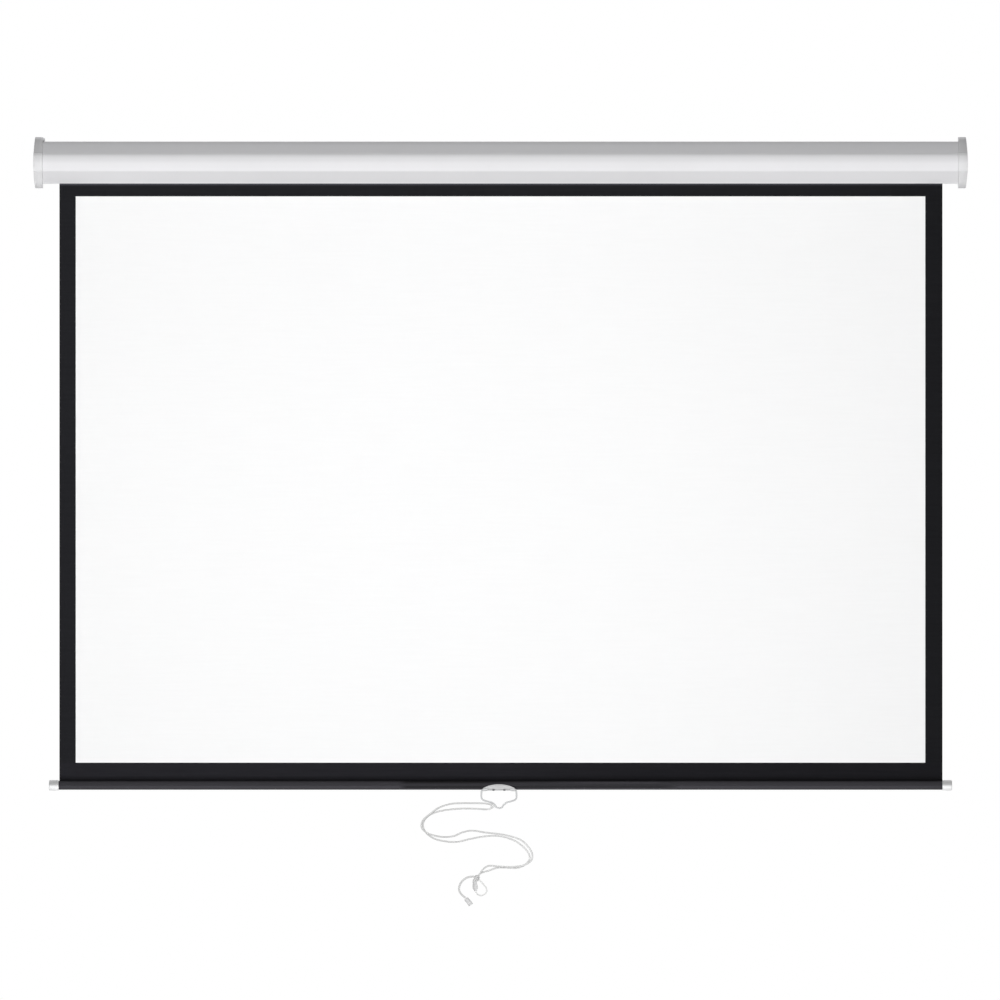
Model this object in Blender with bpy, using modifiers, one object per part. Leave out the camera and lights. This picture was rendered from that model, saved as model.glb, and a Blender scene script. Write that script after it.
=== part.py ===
# Pull-down projector screen, drawn down to its full picture height.
# X runs along the case, the wall is the plane Y = 0, the screen faces -Y and Z is up.
# The origin is on the flat back of the case, level with its centre. All sizes are in metres.

import bpy
import bmesh
import math
from mathutils import Vector

# Fits
CLEAR = 0.0003              # gap left between pieces that touch

# Case
CASE_FLATS = 0.074          # octagon, across its flats
CASE_WALL = 0.0012
CASE_CORNER = 0.003         # outer radius of the folded corners
SLOT_WIDTH = 0.012          # slot that the fabric hangs through
SLOT_LIP = 0.006            # height of the slot's inturned edges

# End caps
CAP_STEP = 0.002            # how far the flange stands out past the case in front
CAP_EAR = 0.008             # how far the flange stands out above and below the case
CAP_DEPTH = 0.0135          # flange along X, at its rim
CAP_DOME = 0.003            # how far the flange's face bulges past its rim
CAP_EDGE = 0.0012           # rounding of the flange
CAP_HOLLOW = 0.011          # depth of the room inside the flange
CAP_BACK = 0.007            # wall between that room and the wall face
SPIGOT_LENGTH = 0.020
SPIGOT_WALL = 0.0025
LEFT_EAR_LIP = 0.0034       # the left cap's top ear reaches this far over the case
LEFT_EAR_DEPTH = 0.041

# Keyhole plates in the backs of the caps
PLATE_INSET = 0.0015        # from the cap's rims in to the plate
PLATE_HEIGHT = 0.052
PLATE_THICK = 0.0015
PLATE_DEPTH = 0.0012        # from the wall face down to the plate
KEYHOLE_RADIUS = 0.0038
KEYHOLE_SLOT = 0.0048       # width of the slot above the hole
KEYHOLE_RISE = 0.013        # from the hole's centre to the slot's end
KEYHOLE_Z = -0.006
PLATE_SCREW_INSET = 0.005

# Fabric
FABRIC_THICK = 0.0004
FIELD_WIDTH = 1.500
FIELD_HEIGHT = 1.000
SIDE_BORDER = 0.0295
TOP_BORDER = 0.0595         # from the roller's axis height down to the field
BOTTOM_BORDER = 0.033       # from the field down into the weight bar
TURNS_LEFT = 2              # turns of fabric that stay on the tube

# Roller
ROLLER_RADIUS = 0.0125
ROLLER_WALL = 0.001
ROLLER_MARGIN = 0.0155      # bare tube beside the fabric
ROLLER_FORWARD = 0.009      # from the case's centre forward to its axis
PLUG_LENGTH = 0.020
PLUG_RIM = 0.0025
SHAFT_RADIUS = 0.003
BUSH_RADIUS = 0.006
BUSH_LENGTH = 0.009
BUSH_RIM_RADIUS = 0.0085
BUSH_RIM = 0.0015
BOSS_RADIUS = 0.0095
END_PLAY = 0.0007           # running gap between the roller's rims and what holds them

# Spring and lock
SPRING_LENGTH = 0.258
SPRING_TURNS = 24
SPRING_WIRE = 0.0008        # radius of the wire
SPIGOT_RADIUS = 0.0071      # spring seats
SPRING_SEAT = 0.010
ANCHOR_LENGTH = 0.015
CUP_STEP = 0.001            # how far the cup stands out past the tube
CUP_WALL = 0.0018
CUP_DEPTH = 0.008
WHEEL_RADIUS = 0.005
WHEEL_NOTCH = 0.0013
PAWL_PIN = 0.0009
PAWL_HEEL = 0.0022
PAWL_TIP = 0.001
PAWL_REACH = 0.0073
PAWL_ROOM = 0.003           # left over in the cup's depth for the pins' heads
PAWL_ANGLE = 107.2          # degrees from the radius to the pawl's length
HOLDER_RADIUS = 0.007
HOLDER_HUB = 0.0092
HOLDER_PLATE = 0.003
HOLDER_WIDTH = 0.032
HOLDER_HEIGHT = 0.016
HOLDER_SCREW = 0.012        # distance of its screws from the shaft
TONGUE = 0.0034             # thickness of the shaft's flat tongue

# Weight bar
BAR_RADIUS = 0.008
BAR_WALL = 0.0012
BAR_MARGIN = 0.0005         # bar beside the fabric
BAR_SLOT = 0.003
SPLINE_RADIUS = 0.0022
BAR_PLUG_STEP = 0.00125     # how far the plugs stand out past the bar
BAR_PLUG_LENGTH = 0.0172
BAR_PLUG_SEAT = 0.015

# Handle, bail and cord
HANDLE_X = -0.0028
SADDLE_WIDTH = 0.0562
SADDLE_WALL = 0.001
SADDLE_RISE = 0.002         # top of its arch above the bar's centre
SADDLE_SAG = 0.0068         # fall of the arch from its middle to its ends
LUG_RADIUS = 0.0029
LUG_LENGTH = 0.008
LUG_SINK = 0.0002           # how far the lugs reach into the saddle's bore, which cuts them
LUG_END = 0.0008            # room left in the lug's bore past the end of the wire
HANDLE_SCREW_X = 0.0096
HANDLE_SCREW_TILT = 35      # degrees, forwards from straight down
WIRE_RADIUS = 0.0015
CORD_RADIUS = 0.0015
LOOP_RADIUS = 0.0011
STRAND_GAP = 0.0006         # between the two strands where they cross

# Fasteners
SCREW_RADIUS = 0.0013
SCREW_HEAD = 0.0026
SCREW_HEAD_HEIGHT = 0.0016
SCREW_LENGTH = 0.007
PLATE_SCREW_SCALE = (0.85, 0.85, 0.5)

# Sizes and places worked out from the sizes above
CAP_HEIGHT = CASE_FLATS + 2 * CAP_EAR
PLATE_WIDTH = CAP_DEPTH - 2 * PLATE_INSET
PLATE_SCREW_Z = PLATE_HEIGHT / 2 - PLATE_SCREW_INSET
FABRIC_WIDTH = FIELD_WIDTH + 2 * SIDE_BORDER
ROLLER_LENGTH = FABRIC_WIDTH + 2 * ROLLER_MARGIN
BAR_LENGTH = FABRIC_WIDTH + 2 * BAR_MARGIN
BAR_PLUG_RADIUS = BAR_RADIUS + BAR_PLUG_STEP
CUP_RADIUS = ROLLER_RADIUS + CUP_STEP
PAWL_PIVOT = CUP_RADIUS - CUP_WALL - PAWL_HEEL - 2 * CLEAR
PAWL_THICK = CUP_DEPTH - PAWL_ROOM
TUBE_END = ROLLER_LENGTH / 2
TUBE_BORE = ROLLER_RADIUS - ROLLER_WALL
SHAFT_BORE = SHAFT_RADIUS + CLEAR
ROLL_RADIUS = ROLLER_RADIUS + CLEAR + TURNS_LEFT * FABRIC_THICK
SPRING_END = TUBE_END - PLUG_LENGTH - CLEAR
SPRING_START = SPRING_END - SPRING_LENGTH
CUP_FLOOR = TUBE_END + CLEAR + PLUG_RIM
PAWL_SEAT = CUP_FLOOR + 2 * CLEAR
HOLDER_END = CUP_FLOOR + CUP_DEPTH + END_PLAY
HUB_END = HOLDER_END + HOLDER_HUB
CAP_FLOOR = HUB_END + HOLDER_PLATE + CLEAR
CASE_END = CAP_FLOOR - CAP_HOLLOW
CASE_Y = -CASE_FLATS / 2
ROLLER_Y = CASE_Y - ROLLER_FORWARD
FABRIC_Y = ROLLER_Y + ROLL_RADIUS + CLEAR + FABRIC_THICK / 2
FIELD_BOTTOM = -TOP_BORDER - FIELD_HEIGHT
HEM_Z = FIELD_BOTTOM - BOTTOM_BORDER
SPLINE_Z = HEM_Z - CLEAR - SPLINE_RADIUS
BAR_Z = SPLINE_Z + SPLINE_RADIUS + CLEAR + BAR_WALL - BAR_RADIUS
BAR_END = BAR_LENGTH / 2
LUG_OFFSET = (BAR_RADIUS + CLEAR + LUG_RADIUS - LUG_SINK) * math.sqrt(0.5)
BAIL_Y = FABRIC_Y - LUG_OFFSET
BAIL_Z = BAR_Z - LUG_OFFSET

# The bail's wire from beside the lug down to its point, in millimetres:
# (out past the end of the saddle, up from the pivots)
BAIL_WIRE = [
    (0.5, 0), (2.4, -1.5), (2.8, -6), (2.9, -12), (1.8, -16.6), (-1.6, -18.8), (-7.6, -20.7),
    (-15.9, -22.9), (-18.7, -25.1), (-21.5, -27.5), (-23.5, -30.9),
]
BAIL_POINT = -32.9          # height of the tip of its point, in millimetres
HITCH_STEP = 8              # the place in that list that the hitch is on

# Cord routes, chosen by hand along the photographed cord, in millimetres from the
# middle of the hitch: (along X, up)
FRONT_ROUTE = [
    (-7.2, -0.9), (-9.6, -0.4), (-14.8, 0.8), (-39.2, 1.2), (-60.7, 1.2), (-78.7, -0.6),
    (-96.7, -6.9), (-113, -18.6), (-124.4, -28.8), (-127.5, -39.3), (-122.4, -47.8),
    (-109.5, -54.6), (-87.7, -58.5), (-68.8, -56.4), (-57.3, -51), (-39.2, -47.2), (-15.7, -50.4),
    (13.1, -53.7), (32.9, -58.1), (49.1, -64.4), (60.8, -75.3), (68.1, -88), (66.8, -99.3),
    (54.6, -107.8), (32.9, -111.1), (7.8, -110.4), (-7.8, -109.2), (-16.4, -113.4), (-23.4, -122),
    (-26.5, -126.8),
]
BACK_ROUTE = [
    (-7.2, -9.2), (-9.6, -9.5), (-15.8, -9.7), (-31.9, -8.6), (-57.2, -8.4), (-87.7, -11.4),
    (-107.5, -16.8), (-119.8, -25.4), (-124.6, -37.5), (-120.4, -49.3), (-105.7, -61),
    (-86, -66.1), (-64.4, -67), (-40.9, -61.9), (-21.2, -58.1), (5.8, -56.4), (32.9, -63.2),
    (50.9, -74.4), (61.7, -87.2), (63.6, -97), (56.5, -106.7), (41.9, -113.1), (22.2, -112.4),
    (5.8, -113), (-8.5, -118), (-18.4, -120.6), (-23.7, -122.9), (-26.5, -126.8),
]
TAIL_ROUTE = [
    (-35.6, -128.4), (-38, -128.3), (-42.2, -128.9), (-49.1, -131.4), (-56.1, -137.1),
    (-60.4, -145.3), (-60.5, -153.6), (-57, -159.6), (-52.8, -163.4), (-50, -165.8),
]
LOOP_ROUTE = [
    (-25.9, -133.8), (-23.9, -135.5), (-19.3, -140.6), (-13.7, -147.2), (-12.2, -153.2),
    (-15, -158.8), (-20.8, -161.6), (-26.2, -160.9), (-29.7, -158.4), (-30.9, -155.6),
]
KNOT_ENDS = [(-26.8, -127.3), (-32.6, -133.6)]
TOGGLE_ENDS = [(-34, -135.2), (-31, -155.2)]
TASSEL_ENDS = [(-49.7, -166.1), (-40.2, -178.4)]
BIGHT_ENDS = [(-4.4, 0.8), (-4.4, -10.8)]
STRAND_STEP = 0.0115        # spacing of the points along each tube
SHORT_STEP = 0.0045
BAIL_STEP = 0.0027
KNOT_RADIUS = 0.0047
HITCH_RADIUS = 0.0039
HITCH_LENGTH = 0.0066
BIGHT_RADIUS = 0.0024
# Profiles of the toggle and the tassel: (radius, share of the length)
TOGGLE_PROFILE = [
    (0, 0), (0.0020, 0), (0.0028, 0.06), (0.0030, 0.22), (0.0037, 0.34), (0.0046, 0.47),
    (0.0048, 0.62), (0.0037, 0.77), (0.0026, 0.90), (0.0015, 1), (0, 1),
]
TASSEL_PROFILE = [
    (0, 0), (0.0021, 0), (0.0036, 0.06), (0.0042, 0.18), (0.0044, 0.40), (0.0046, 0.92),
    (0.0044, 1), (0.0036, 1), (0.0030, 0.65), (0.0022, 0.50), (0, 0.50),
]

PARTS = bpy.data.collections.new("projector_screen")
CUTTERS = bpy.data.collections.new("cutters")
MATERIALS = {}

ALONG_X = (0, math.radians(90), 0)
FACING_X = (math.radians(90), 0, math.radians(90))
FACING_Y = (math.radians(90), 0, 0)


def clear_scene():
    for item in list(bpy.data.objects):
        bpy.data.objects.remove(item, do_unlink=True)
    for collection in (PARTS, CUTTERS):
        bpy.context.scene.collection.children.link(collection)


def material(name, colour, roughness, metallic=0.0):
    shader = bpy.data.materials.new(name)
    shader.use_nodes = True
    surface = shader.node_tree.nodes["Principled BSDF"]
    surface.inputs["Base Color"].default_value = (*colour, 1)
    surface.inputs["Roughness"].default_value = roughness
    surface.inputs["Metallic"].default_value = metallic
    MATERIALS[name] = shader


def make_materials():
    material("white_paint", (0.74, 0.75, 0.76), 0.42)
    material("cap_plastic", (0.70, 0.71, 0.71), 0.45)
    material("steel", (0.56, 0.57, 0.58), 0.35, 1.0)
    material("spring_steel", (0.30, 0.31, 0.33), 0.4, 1.0)
    material("brass", (0.72, 0.55, 0.26), 0.35, 1.0)
    material("nylon", (0.80, 0.78, 0.70), 0.5)
    material("acetal", (0.05, 0.05, 0.055), 0.45)
    material("white_cloth", (0.88, 0.88, 0.88), 0.9)
    material("black_cloth", (0.014, 0.014, 0.016), 0.8)
    material("black_paint", (0.03, 0.03, 0.032), 0.4)
    material("white_plastic", (0.82, 0.83, 0.84), 0.35)
    material("pale_plastic", (0.52, 0.53, 0.54), 0.4)
    material("black_screw", (0.05, 0.05, 0.05), 0.4, 1.0)
    material("cord_yarn", (0.62, 0.62, 0.61), 0.85)


def add_object(name, data, finish=None, place=(0, 0, 0), turn=(0, 0, 0), parent=None):
    item = bpy.data.objects.new(name, data)
    item.location = place
    item.rotation_euler = turn
    item.parent = parent
    if finish:
        item.data.materials.append(MATERIALS[finish])
        PARTS.objects.link(item)
    else:
        item.hide_render = True
        item.display_type = 'WIRE'
        CUTTERS.objects.link(item)
    return item


def holder_empty(name, place, parent=None):
    empty = bpy.data.objects.new(name, None)
    empty.location = place
    empty.parent = parent
    PARTS.objects.link(empty)
    return empty


def box_mesh(size):
    mesh = bpy.data.meshes.new("box")
    shape = bmesh.new()
    bmesh.ops.create_cube(shape, size=1)
    bmesh.ops.scale(shape, vec=size, verts=shape.verts)
    shape.to_mesh(mesh)
    shape.free()
    return mesh


def rod_mesh(radius, length, sides=24):
    mesh = bpy.data.meshes.new("rod")
    shape = bmesh.new()
    bmesh.ops.create_cone(shape, cap_ends=True, segments=sides, radius1=radius,
                          radius2=radius, depth=length)
    shape.to_mesh(mesh)
    shape.free()
    mesh.shade_smooth()
    mesh.set_sharp_from_angle(angle=math.radians(35))
    return mesh


def outline_mesh(outlines, thickness):
    # A flat outline, with any further outlines as its holes, thickened evenly both ways.
    curve = bpy.data.curves.new("outline", 'CURVE')
    curve.dimensions = '2D'
    curve.fill_mode = 'BOTH'
    curve.extrude = thickness / 2
    for points in outlines:
        spline = curve.splines.new('POLY')
        spline.points.add(len(points) - 1)
        spline.use_cyclic_u = True
        for corner, (across, up) in zip(spline.points, points):
            corner.co = (across, up, 0, 1)
    return mesh_of_curve(curve)


def mesh_of_curve(curve):
    guide = bpy.data.objects.new("guide", curve)
    bpy.context.scene.collection.objects.link(guide)
    graph = bpy.context.evaluated_depsgraph_get()
    mesh = bpy.data.meshes.new_from_object(guide.evaluated_get(graph))
    bpy.data.objects.remove(guide, do_unlink=True)
    bpy.data.curves.remove(curve)
    shape = bmesh.new()
    shape.from_mesh(mesh)
    bmesh.ops.remove_doubles(shape, verts=shape.verts, dist=0.000001)
    bmesh.ops.recalc_face_normals(shape, faces=shape.faces)
    shape.to_mesh(mesh)
    shape.free()
    return mesh


def turned(name, profile, finish=None, ring=False, steps=24, **placing):
    # A profile of (radius, height) that runs down its outer side, turned round local Z.
    # A ring's profile is a closed loop that goes back up its bore.
    mesh = bpy.data.meshes.new(name)
    points = [(radius, 0, height) for radius, height in profile]
    edges = [(i, i + 1) for i in range(len(points) - 1)]
    if ring:
        edges.append((len(points) - 1, 0))
    mesh.from_pydata(points, edges, [])
    item = add_object(name, mesh, finish, **placing)
    screw = item.modifiers.new("turn", 'SCREW')
    screw.steps = steps
    screw.render_steps = steps
    screw.use_smooth_shade = True
    screw.use_merge_vertices = True
    screw.merge_threshold = 0.000001
    return item


def boolean(item, cutter, operation='DIFFERENCE'):
    step = item.modifiers.new(operation.lower(), 'BOOLEAN')
    step.operation = operation
    step.solver = 'EXACT'
    step.object = cutter


def bevel(item, width, segments=2, angle=60):
    step = item.modifiers.new("round", 'BEVEL')
    step.width = width
    step.segments = segments
    step.limit_method = 'ANGLE'
    step.angle_limit = math.radians(angle)


def aim(direction):
    return Vector((0, 0, 1)).rotation_difference(Vector(direction)).to_euler()


def arc(radius, start, end, steps, centre=(0, 0)):
    angles = [math.radians(start + (end - start) * i / steps) for i in range(steps + 1)]
    return [(centre[0] + radius * math.cos(a), centre[1] + radius * math.sin(a)) for a in angles]


def octagon(flats):
    radius = flats / 2 / math.cos(math.radians(22.5))
    return arc(radius, 22.5, 337.5, 7, (CASE_Y, 0))


def smooth_route(route, spacing):
    # Points at an even spacing along a smooth curve through the route's own points.
    # The first and last stretch stay straight, so that the ends are square to what they meet.
    steps = 24
    knots = [Vector(point) for point in route]
    knots = [2 * knots[0] - knots[1]] + knots + [2 * knots[-1] - knots[-2]]
    fine = []
    for before, start, end, after in zip(knots, knots[1:], knots[2:], knots[3:]):
        span = (end - start).length
        leave = (end - before) * span / ((start - before).length + span)
        arrive = (after - start) * span / ((after - end).length + span)
        for i in range(steps):
            t = i / steps
            fine.append((2 * t**3 - 3 * t**2 + 1) * start + (t**3 - 2 * t**2 + t) * leave
                        + (3 * t**2 - 2 * t**3) * end + (t**3 - t**2) * arrive)
    fine = fine[steps:1 - steps]
    lengths = [0.0]
    for start, end in zip(fine, fine[1:]):
        lengths.append(lengths[-1] + (end - start).length)
    count = max(2, round(lengths[-1] / spacing))
    even = []
    place = 0
    for i in range(count + 1):
        target = lengths[-1] * i / count
        while place < len(fine) - 2 and lengths[place + 1] < target:
            place += 1
        share = (target - lengths[place]) / (lengths[place + 1] - lengths[place])
        even.append(fine[place].lerp(fine[place + 1], share))
    return [knots[1]] + even + [knots[-2]]


def tube_curve(name, points, radius, resolution):
    curve = bpy.data.curves.new(name, 'CURVE')
    curve.dimensions = '3D'
    curve.bevel_depth = radius
    curve.bevel_resolution = resolution
    curve.use_fill_caps = True
    spline = curve.splines.new('POLY')
    spline.points.add(len(points) - 1)
    for corner, point in zip(spline.points, points):
        corner.co = (*point, 1)
    return curve


def print_least_gap(name, points, radius, apart):
    # Between the surfaces of any two places of one tube that are this many points apart.
    spans = [(end - start).length for i, start in enumerate(points) for end in points[i + apart:]]
    print(name, "least gap to itself", round((min(spans) - 2 * radius) * 1000, 2), "mm")


def screw(name, place, direction, finish="steel", parent=None, length=SCREW_LENGTH):
    # The origin is under the head, and the shank runs against the direction given.
    edge = SCREW_HEAD_HEIGHT * 0.45
    profile = [(0, SCREW_HEAD_HEIGHT), (SCREW_HEAD * 0.55, SCREW_HEAD_HEIGHT), (SCREW_HEAD, edge),
               (SCREW_HEAD, 0), (SCREW_RADIUS, 0), (SCREW_RADIUS, -length), (0, -length)]
    return turned(name, profile, finish, steps=16, place=place, turn=aim(direction),
                  parent=parent)


def screw_hole(item, place, direction, parent=None, length=SCREW_LENGTH):
    # Hole for a screw's shank, a little deeper than the shank is long.
    depth = 2 * (length + 4 * CLEAR)
    cutter = add_object(item.name + "_hole", rod_mesh(SCREW_RADIUS + CLEAR, depth, 16),
                        place=place, turn=aim(direction), parent=parent)
    boolean(item, cutter)


def rear_facets():
    # The two sloped facets at the back of the case, which the cap screws go through.
    return [("upper", Vector((0, math.sqrt(0.5), math.sqrt(0.5)))),
            ("lower", Vector((0, math.sqrt(0.5), -math.sqrt(0.5))))]


def cap_screw_place(side, direction):
    along = side * (CASE_END - SPIGOT_LENGTH / 2)
    return Vector((along, CASE_Y, 0)) + direction * (CASE_FLATS / 2 + CLEAR)


def make_case_shell():
    half = CASE_FLATS / 2
    rear, front = FABRIC_Y + SLOT_WIDTH / 2, FABRIC_Y - SLOT_WIDTH / 2
    corners = arc(half / math.cos(math.radians(22.5)), -67.5, 247.5, 7, (CASE_Y, 0))
    profile = ([(rear, SLOT_LIP - half), (rear, -half)] + corners
               + [(front, -half), (front, SLOT_LIP - half)])
    shape = bmesh.new()
    ends = (CLEAR - CASE_END, CASE_END - CLEAR)
    rows = [[shape.verts.new((x, y, z)) for y, z in profile] for x in ends]
    for i in range(len(profile) - 1):
        shape.faces.new((rows[0][i], rows[0][i + 1], rows[1][i + 1], rows[1][i]))
    mesh = bpy.data.meshes.new("case_shell")
    shape.to_mesh(mesh)
    shape.free()
    shell = add_object("case_shell", mesh, "white_paint")
    bevel(shell, CASE_CORNER * math.tan(math.radians(22.5)), 3, 30)
    thick = shell.modifiers.new("sheet", 'SOLIDIFY')
    thick.thickness = CASE_WALL
    thick.offset = -1
    thick.use_even_offset = True
    for side in (-1, 1):
        for facet, direction in rear_facets():
            screw_hole(shell, cap_screw_place(side, direction), direction)
    return shell


def cap_outline():
    # Flat back on the wall, flat top and bottom, and the case's own front facets stood out.
    front = -CASE_FLATS - CAP_STEP
    face = (CASE_FLATS / 2 + CAP_STEP) * math.tan(math.radians(22.5))
    top = CAP_HEIGHT / 2
    slope = front + top - face
    return [(0, -top), (0, top), (slope, top), (front, face), (front, -face), (slope, -top)]


def make_end_cap(name, side, ear_lip):
    rim = CAP_DEPTH + CAP_DOME
    cap = add_object(name, outline_mesh([cap_outline()], rim), "cap_plastic",
                     place=(side * (CASE_END + rim / 2), 0, 0), turn=FACING_X)
    bulge = (CAP_HEIGHT**2 / 4 + CAP_DOME**2) / (2 * CAP_DOME)
    boolean(cap, add_object(name + "_dome", rod_mesh(bulge, 4 * CASE_FLATS, 256), turn=FACING_Y,
                            place=(side * (CASE_END + rim - bulge), 0, 0)), 'INTERSECT')
    bevel(cap, CAP_EDGE)
    if ear_lip:
        low, high = CASE_FLATS / 2 + CLEAR, CAP_HEIGHT / 2 - CAP_EDGE
        size = (ear_lip + CAP_DEPTH / 2, LEFT_EAR_DEPTH, high - low)
        lip = add_object(name + "_ear", box_mesh(size),
                         place=(side * (CASE_END + CAP_DEPTH / 4 - ear_lip / 2),
                                -CAP_EDGE - LEFT_EAR_DEPTH / 2, (low + high) / 2))
        bevel(lip, ear_lip * 0.3, 1)
        boolean(cap, lip, 'UNION')
    outer = CASE_FLATS - 2 * CASE_WALL - 2 * CLEAR
    spigot_depth = SPIGOT_LENGTH + CAP_EDGE * 2
    spigot = add_object(name + "_spigot", outline_mesh([octagon(outer)], spigot_depth),
                        place=(side * (CASE_END - SPIGOT_LENGTH + spigot_depth / 2), 0, 0),
                        turn=FACING_X)
    boolean(cap, spigot, 'UNION')
    bore = add_object(name + "_bore", outline_mesh([octagon(outer - 2 * SPIGOT_WALL)],
                                                   2 * SPIGOT_LENGTH),
                      place=(side * (CASE_END - SPIGOT_LENGTH), 0, 0), turn=FACING_X)
    boolean(cap, bore)
    room = add_object(name + "_room", outline_mesh([octagon(CASE_FLATS - 2 * CAP_BACK)],
                                                   2 * CAP_HOLLOW),
                      place=(side * CASE_END, 0, 0), turn=FACING_X)
    boolean(cap, room)
    # The spigot's underside is open where the edges of the fabric slot run.
    gap_width = SLOT_WIDTH + 2 * CASE_WALL + 4 * CLEAR
    gap_height = 2 * (SLOT_LIP + CASE_WALL + SPIGOT_WALL)
    gap = add_object(name + "_gap", box_mesh((2 * SPIGOT_LENGTH, gap_width, gap_height)),
                     place=(side * (CASE_END - SPIGOT_LENGTH), FABRIC_Y, -CASE_FLATS / 2))
    boolean(cap, gap)
    plate_x = side * (CASE_END + CAP_DEPTH / 2)
    seat_depth = PLATE_DEPTH + PLATE_THICK + CLEAR
    seat = add_object(name + "_seat", box_mesh((PLATE_WIDTH + 2 * CLEAR, 2 * seat_depth,
                                                PLATE_HEIGHT + 2 * CLEAR)),
                      place=(plate_x, 0, 0))
    boolean(cap, seat)
    window_height = KEYHOLE_RISE + 4 * KEYHOLE_RADIUS
    window = add_object(name + "_window", box_mesh((2 * KEYHOLE_RADIUS + 4 * CLEAR, 4 * CAP_BACK,
                                                    window_height)),
                        place=(plate_x, 0, KEYHOLE_Z + KEYHOLE_RISE / 2))
    boolean(cap, window)
    for level in (-PLATE_SCREW_Z, PLATE_SCREW_Z):
        screw_hole(cap, (plate_x, CLEAR - PLATE_DEPTH, level), (0, 1, 0))
    for facet, direction in rear_facets():
        screw_hole(cap, cap_screw_place(side, direction), direction)
    return cap


def make_left_boss(cap):
    # Seat for the idle end's bush, standing in from the cap's end wall.
    start = TUBE_END + CLEAR + PLUG_RIM + END_PLAY + BUSH_RIM + CLEAR
    end = CAP_FLOOR + CAP_DOME / 3
    boss = add_object("left_boss", rod_mesh(BOSS_RADIUS, end - start, 32), turn=ALONG_X,
                      place=(-(start + end) / 2, ROLLER_Y, 0))
    boolean(cap, boss, 'UNION')
    depth = BUSH_LENGTH + 2 * CLEAR
    bore = add_object("left_boss_bore", rod_mesh(BUSH_RADIUS + CLEAR, 2 * depth, 32),
                      turn=ALONG_X, place=(-start, ROLLER_Y, 0))
    boolean(cap, bore)
    return start


def make_right_cap_holes(cap):
    for side in (-1, 1):
        screw_hole(cap, (HUB_END - CLEAR, ROLLER_Y + side * HOLDER_SCREW, 0), (-1, 0, 0))


def make_hanger(name, side):
    plate_x = side * (CASE_END + CAP_DEPTH / 2)
    half_width, half_height = PLATE_WIDTH / 2, PLATE_HEIGHT / 2
    edge = [(-half_width, -half_height), (half_width, -half_height),
            (half_width, half_height), (-half_width, half_height)]
    slot = KEYHOLE_SLOT / 2
    opening = math.degrees(math.asin(slot / KEYHOLE_RADIUS))
    keyhole = (arc(KEYHOLE_RADIUS, 90 + opening, 450 - opening, 20, (0, KEYHOLE_Z))
               + arc(slot, 0, 180, 8, (0, KEYHOLE_Z + KEYHOLE_RISE)))
    holes = [arc(SCREW_RADIUS + CLEAR, 0, 337.5, 15, (0, level))
             for level in (-PLATE_SCREW_Z, PLATE_SCREW_Z)]
    add_object(name + "_hanger_plate", outline_mesh([edge, keyhole] + holes, PLATE_THICK),
               "steel", place=(plate_x, -PLATE_DEPTH - PLATE_THICK / 2, 0), turn=FACING_Y)
    for word, level in (("upper", PLATE_SCREW_Z), ("lower", -PLATE_SCREW_Z)):
        thin = screw("hanger_screw_" + name + "_" + word, (plate_x, CLEAR - PLATE_DEPTH, level),
                     (0, 1, 0))
        thin.scale = PLATE_SCREW_SCALE


def make_case():
    make_case_shell()
    left = make_end_cap("left_end_cap", -1, LEFT_EAR_LIP)
    right = make_end_cap("right_end_cap", 1, 0)
    bush_start = make_left_boss(left)
    make_right_cap_holes(right)
    for name, side in (("left", -1), ("right", 1)):
        make_hanger(name, side)
        for facet, direction in rear_facets():
            screw("cap_screw_" + name + "_" + facet, cap_screw_place(side, direction), direction)
    bush = [(BUSH_RIM_RADIUS, BUSH_RIM + CLEAR), (BUSH_RIM_RADIUS, CLEAR), (BUSH_RADIUS, CLEAR),
            (BUSH_RADIUS, -BUSH_LENGTH), (SHAFT_BORE, -BUSH_LENGTH),
            (SHAFT_BORE, BUSH_RIM + CLEAR)]
    turned("bearing_bush", bush, "nylon", ring=True, place=(-bush_start, ROLLER_Y, 0),
           turn=ALONG_X)


def make_shaft():
    start = SPRING_START - ANCHOR_LENGTH - SPRING_SEAT
    end = CAP_FLOOR - 2 * CLEAR
    shaft = add_object("spring_shaft", rod_mesh(SHAFT_RADIUS, end - start), "steel",
                       place=((start + end) / 2, ROLLER_Y, 0), turn=ALONG_X)
    tongue = end - HOLDER_END + 2 * CLEAR
    for side in (-1, 1):
        flat = add_object("tongue_flat", box_mesh((2 * tongue, SHAFT_RADIUS, 4 * SHAFT_RADIUS)),
                          place=(end, ROLLER_Y + side * (TONGUE + SHAFT_RADIUS) / 2, 0))
        boolean(shaft, flat)
    holder = add_object("shaft_holder", box_mesh((HOLDER_PLATE, HOLDER_WIDTH, HOLDER_HEIGHT)),
                        "steel", place=(CAP_FLOOR - CLEAR - HOLDER_PLATE / 2, ROLLER_Y, 0))
    length = HOLDER_HUB + HOLDER_PLATE / 2
    hub = add_object("holder_hub", rod_mesh(HOLDER_RADIUS, length, 32), turn=ALONG_X,
                     place=(HOLDER_END + length / 2, ROLLER_Y, 0))
    boolean(holder, hub, 'UNION')
    slot = add_object("holder_slot", box_mesh((4 * length, TONGUE + 2 * CLEAR, 2 * SHAFT_BORE)),
                      place=(CAP_FLOOR, ROLLER_Y, 0))
    boolean(holder, slot)
    for word, side in (("front", -1), ("rear", 1)):
        place = (HUB_END - CLEAR, ROLLER_Y + side * HOLDER_SCREW, 0)
        screw_hole(holder, place, (-1, 0, 0))
        screw("holder_screw_" + word, place, (-1, 0, 0))


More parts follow.
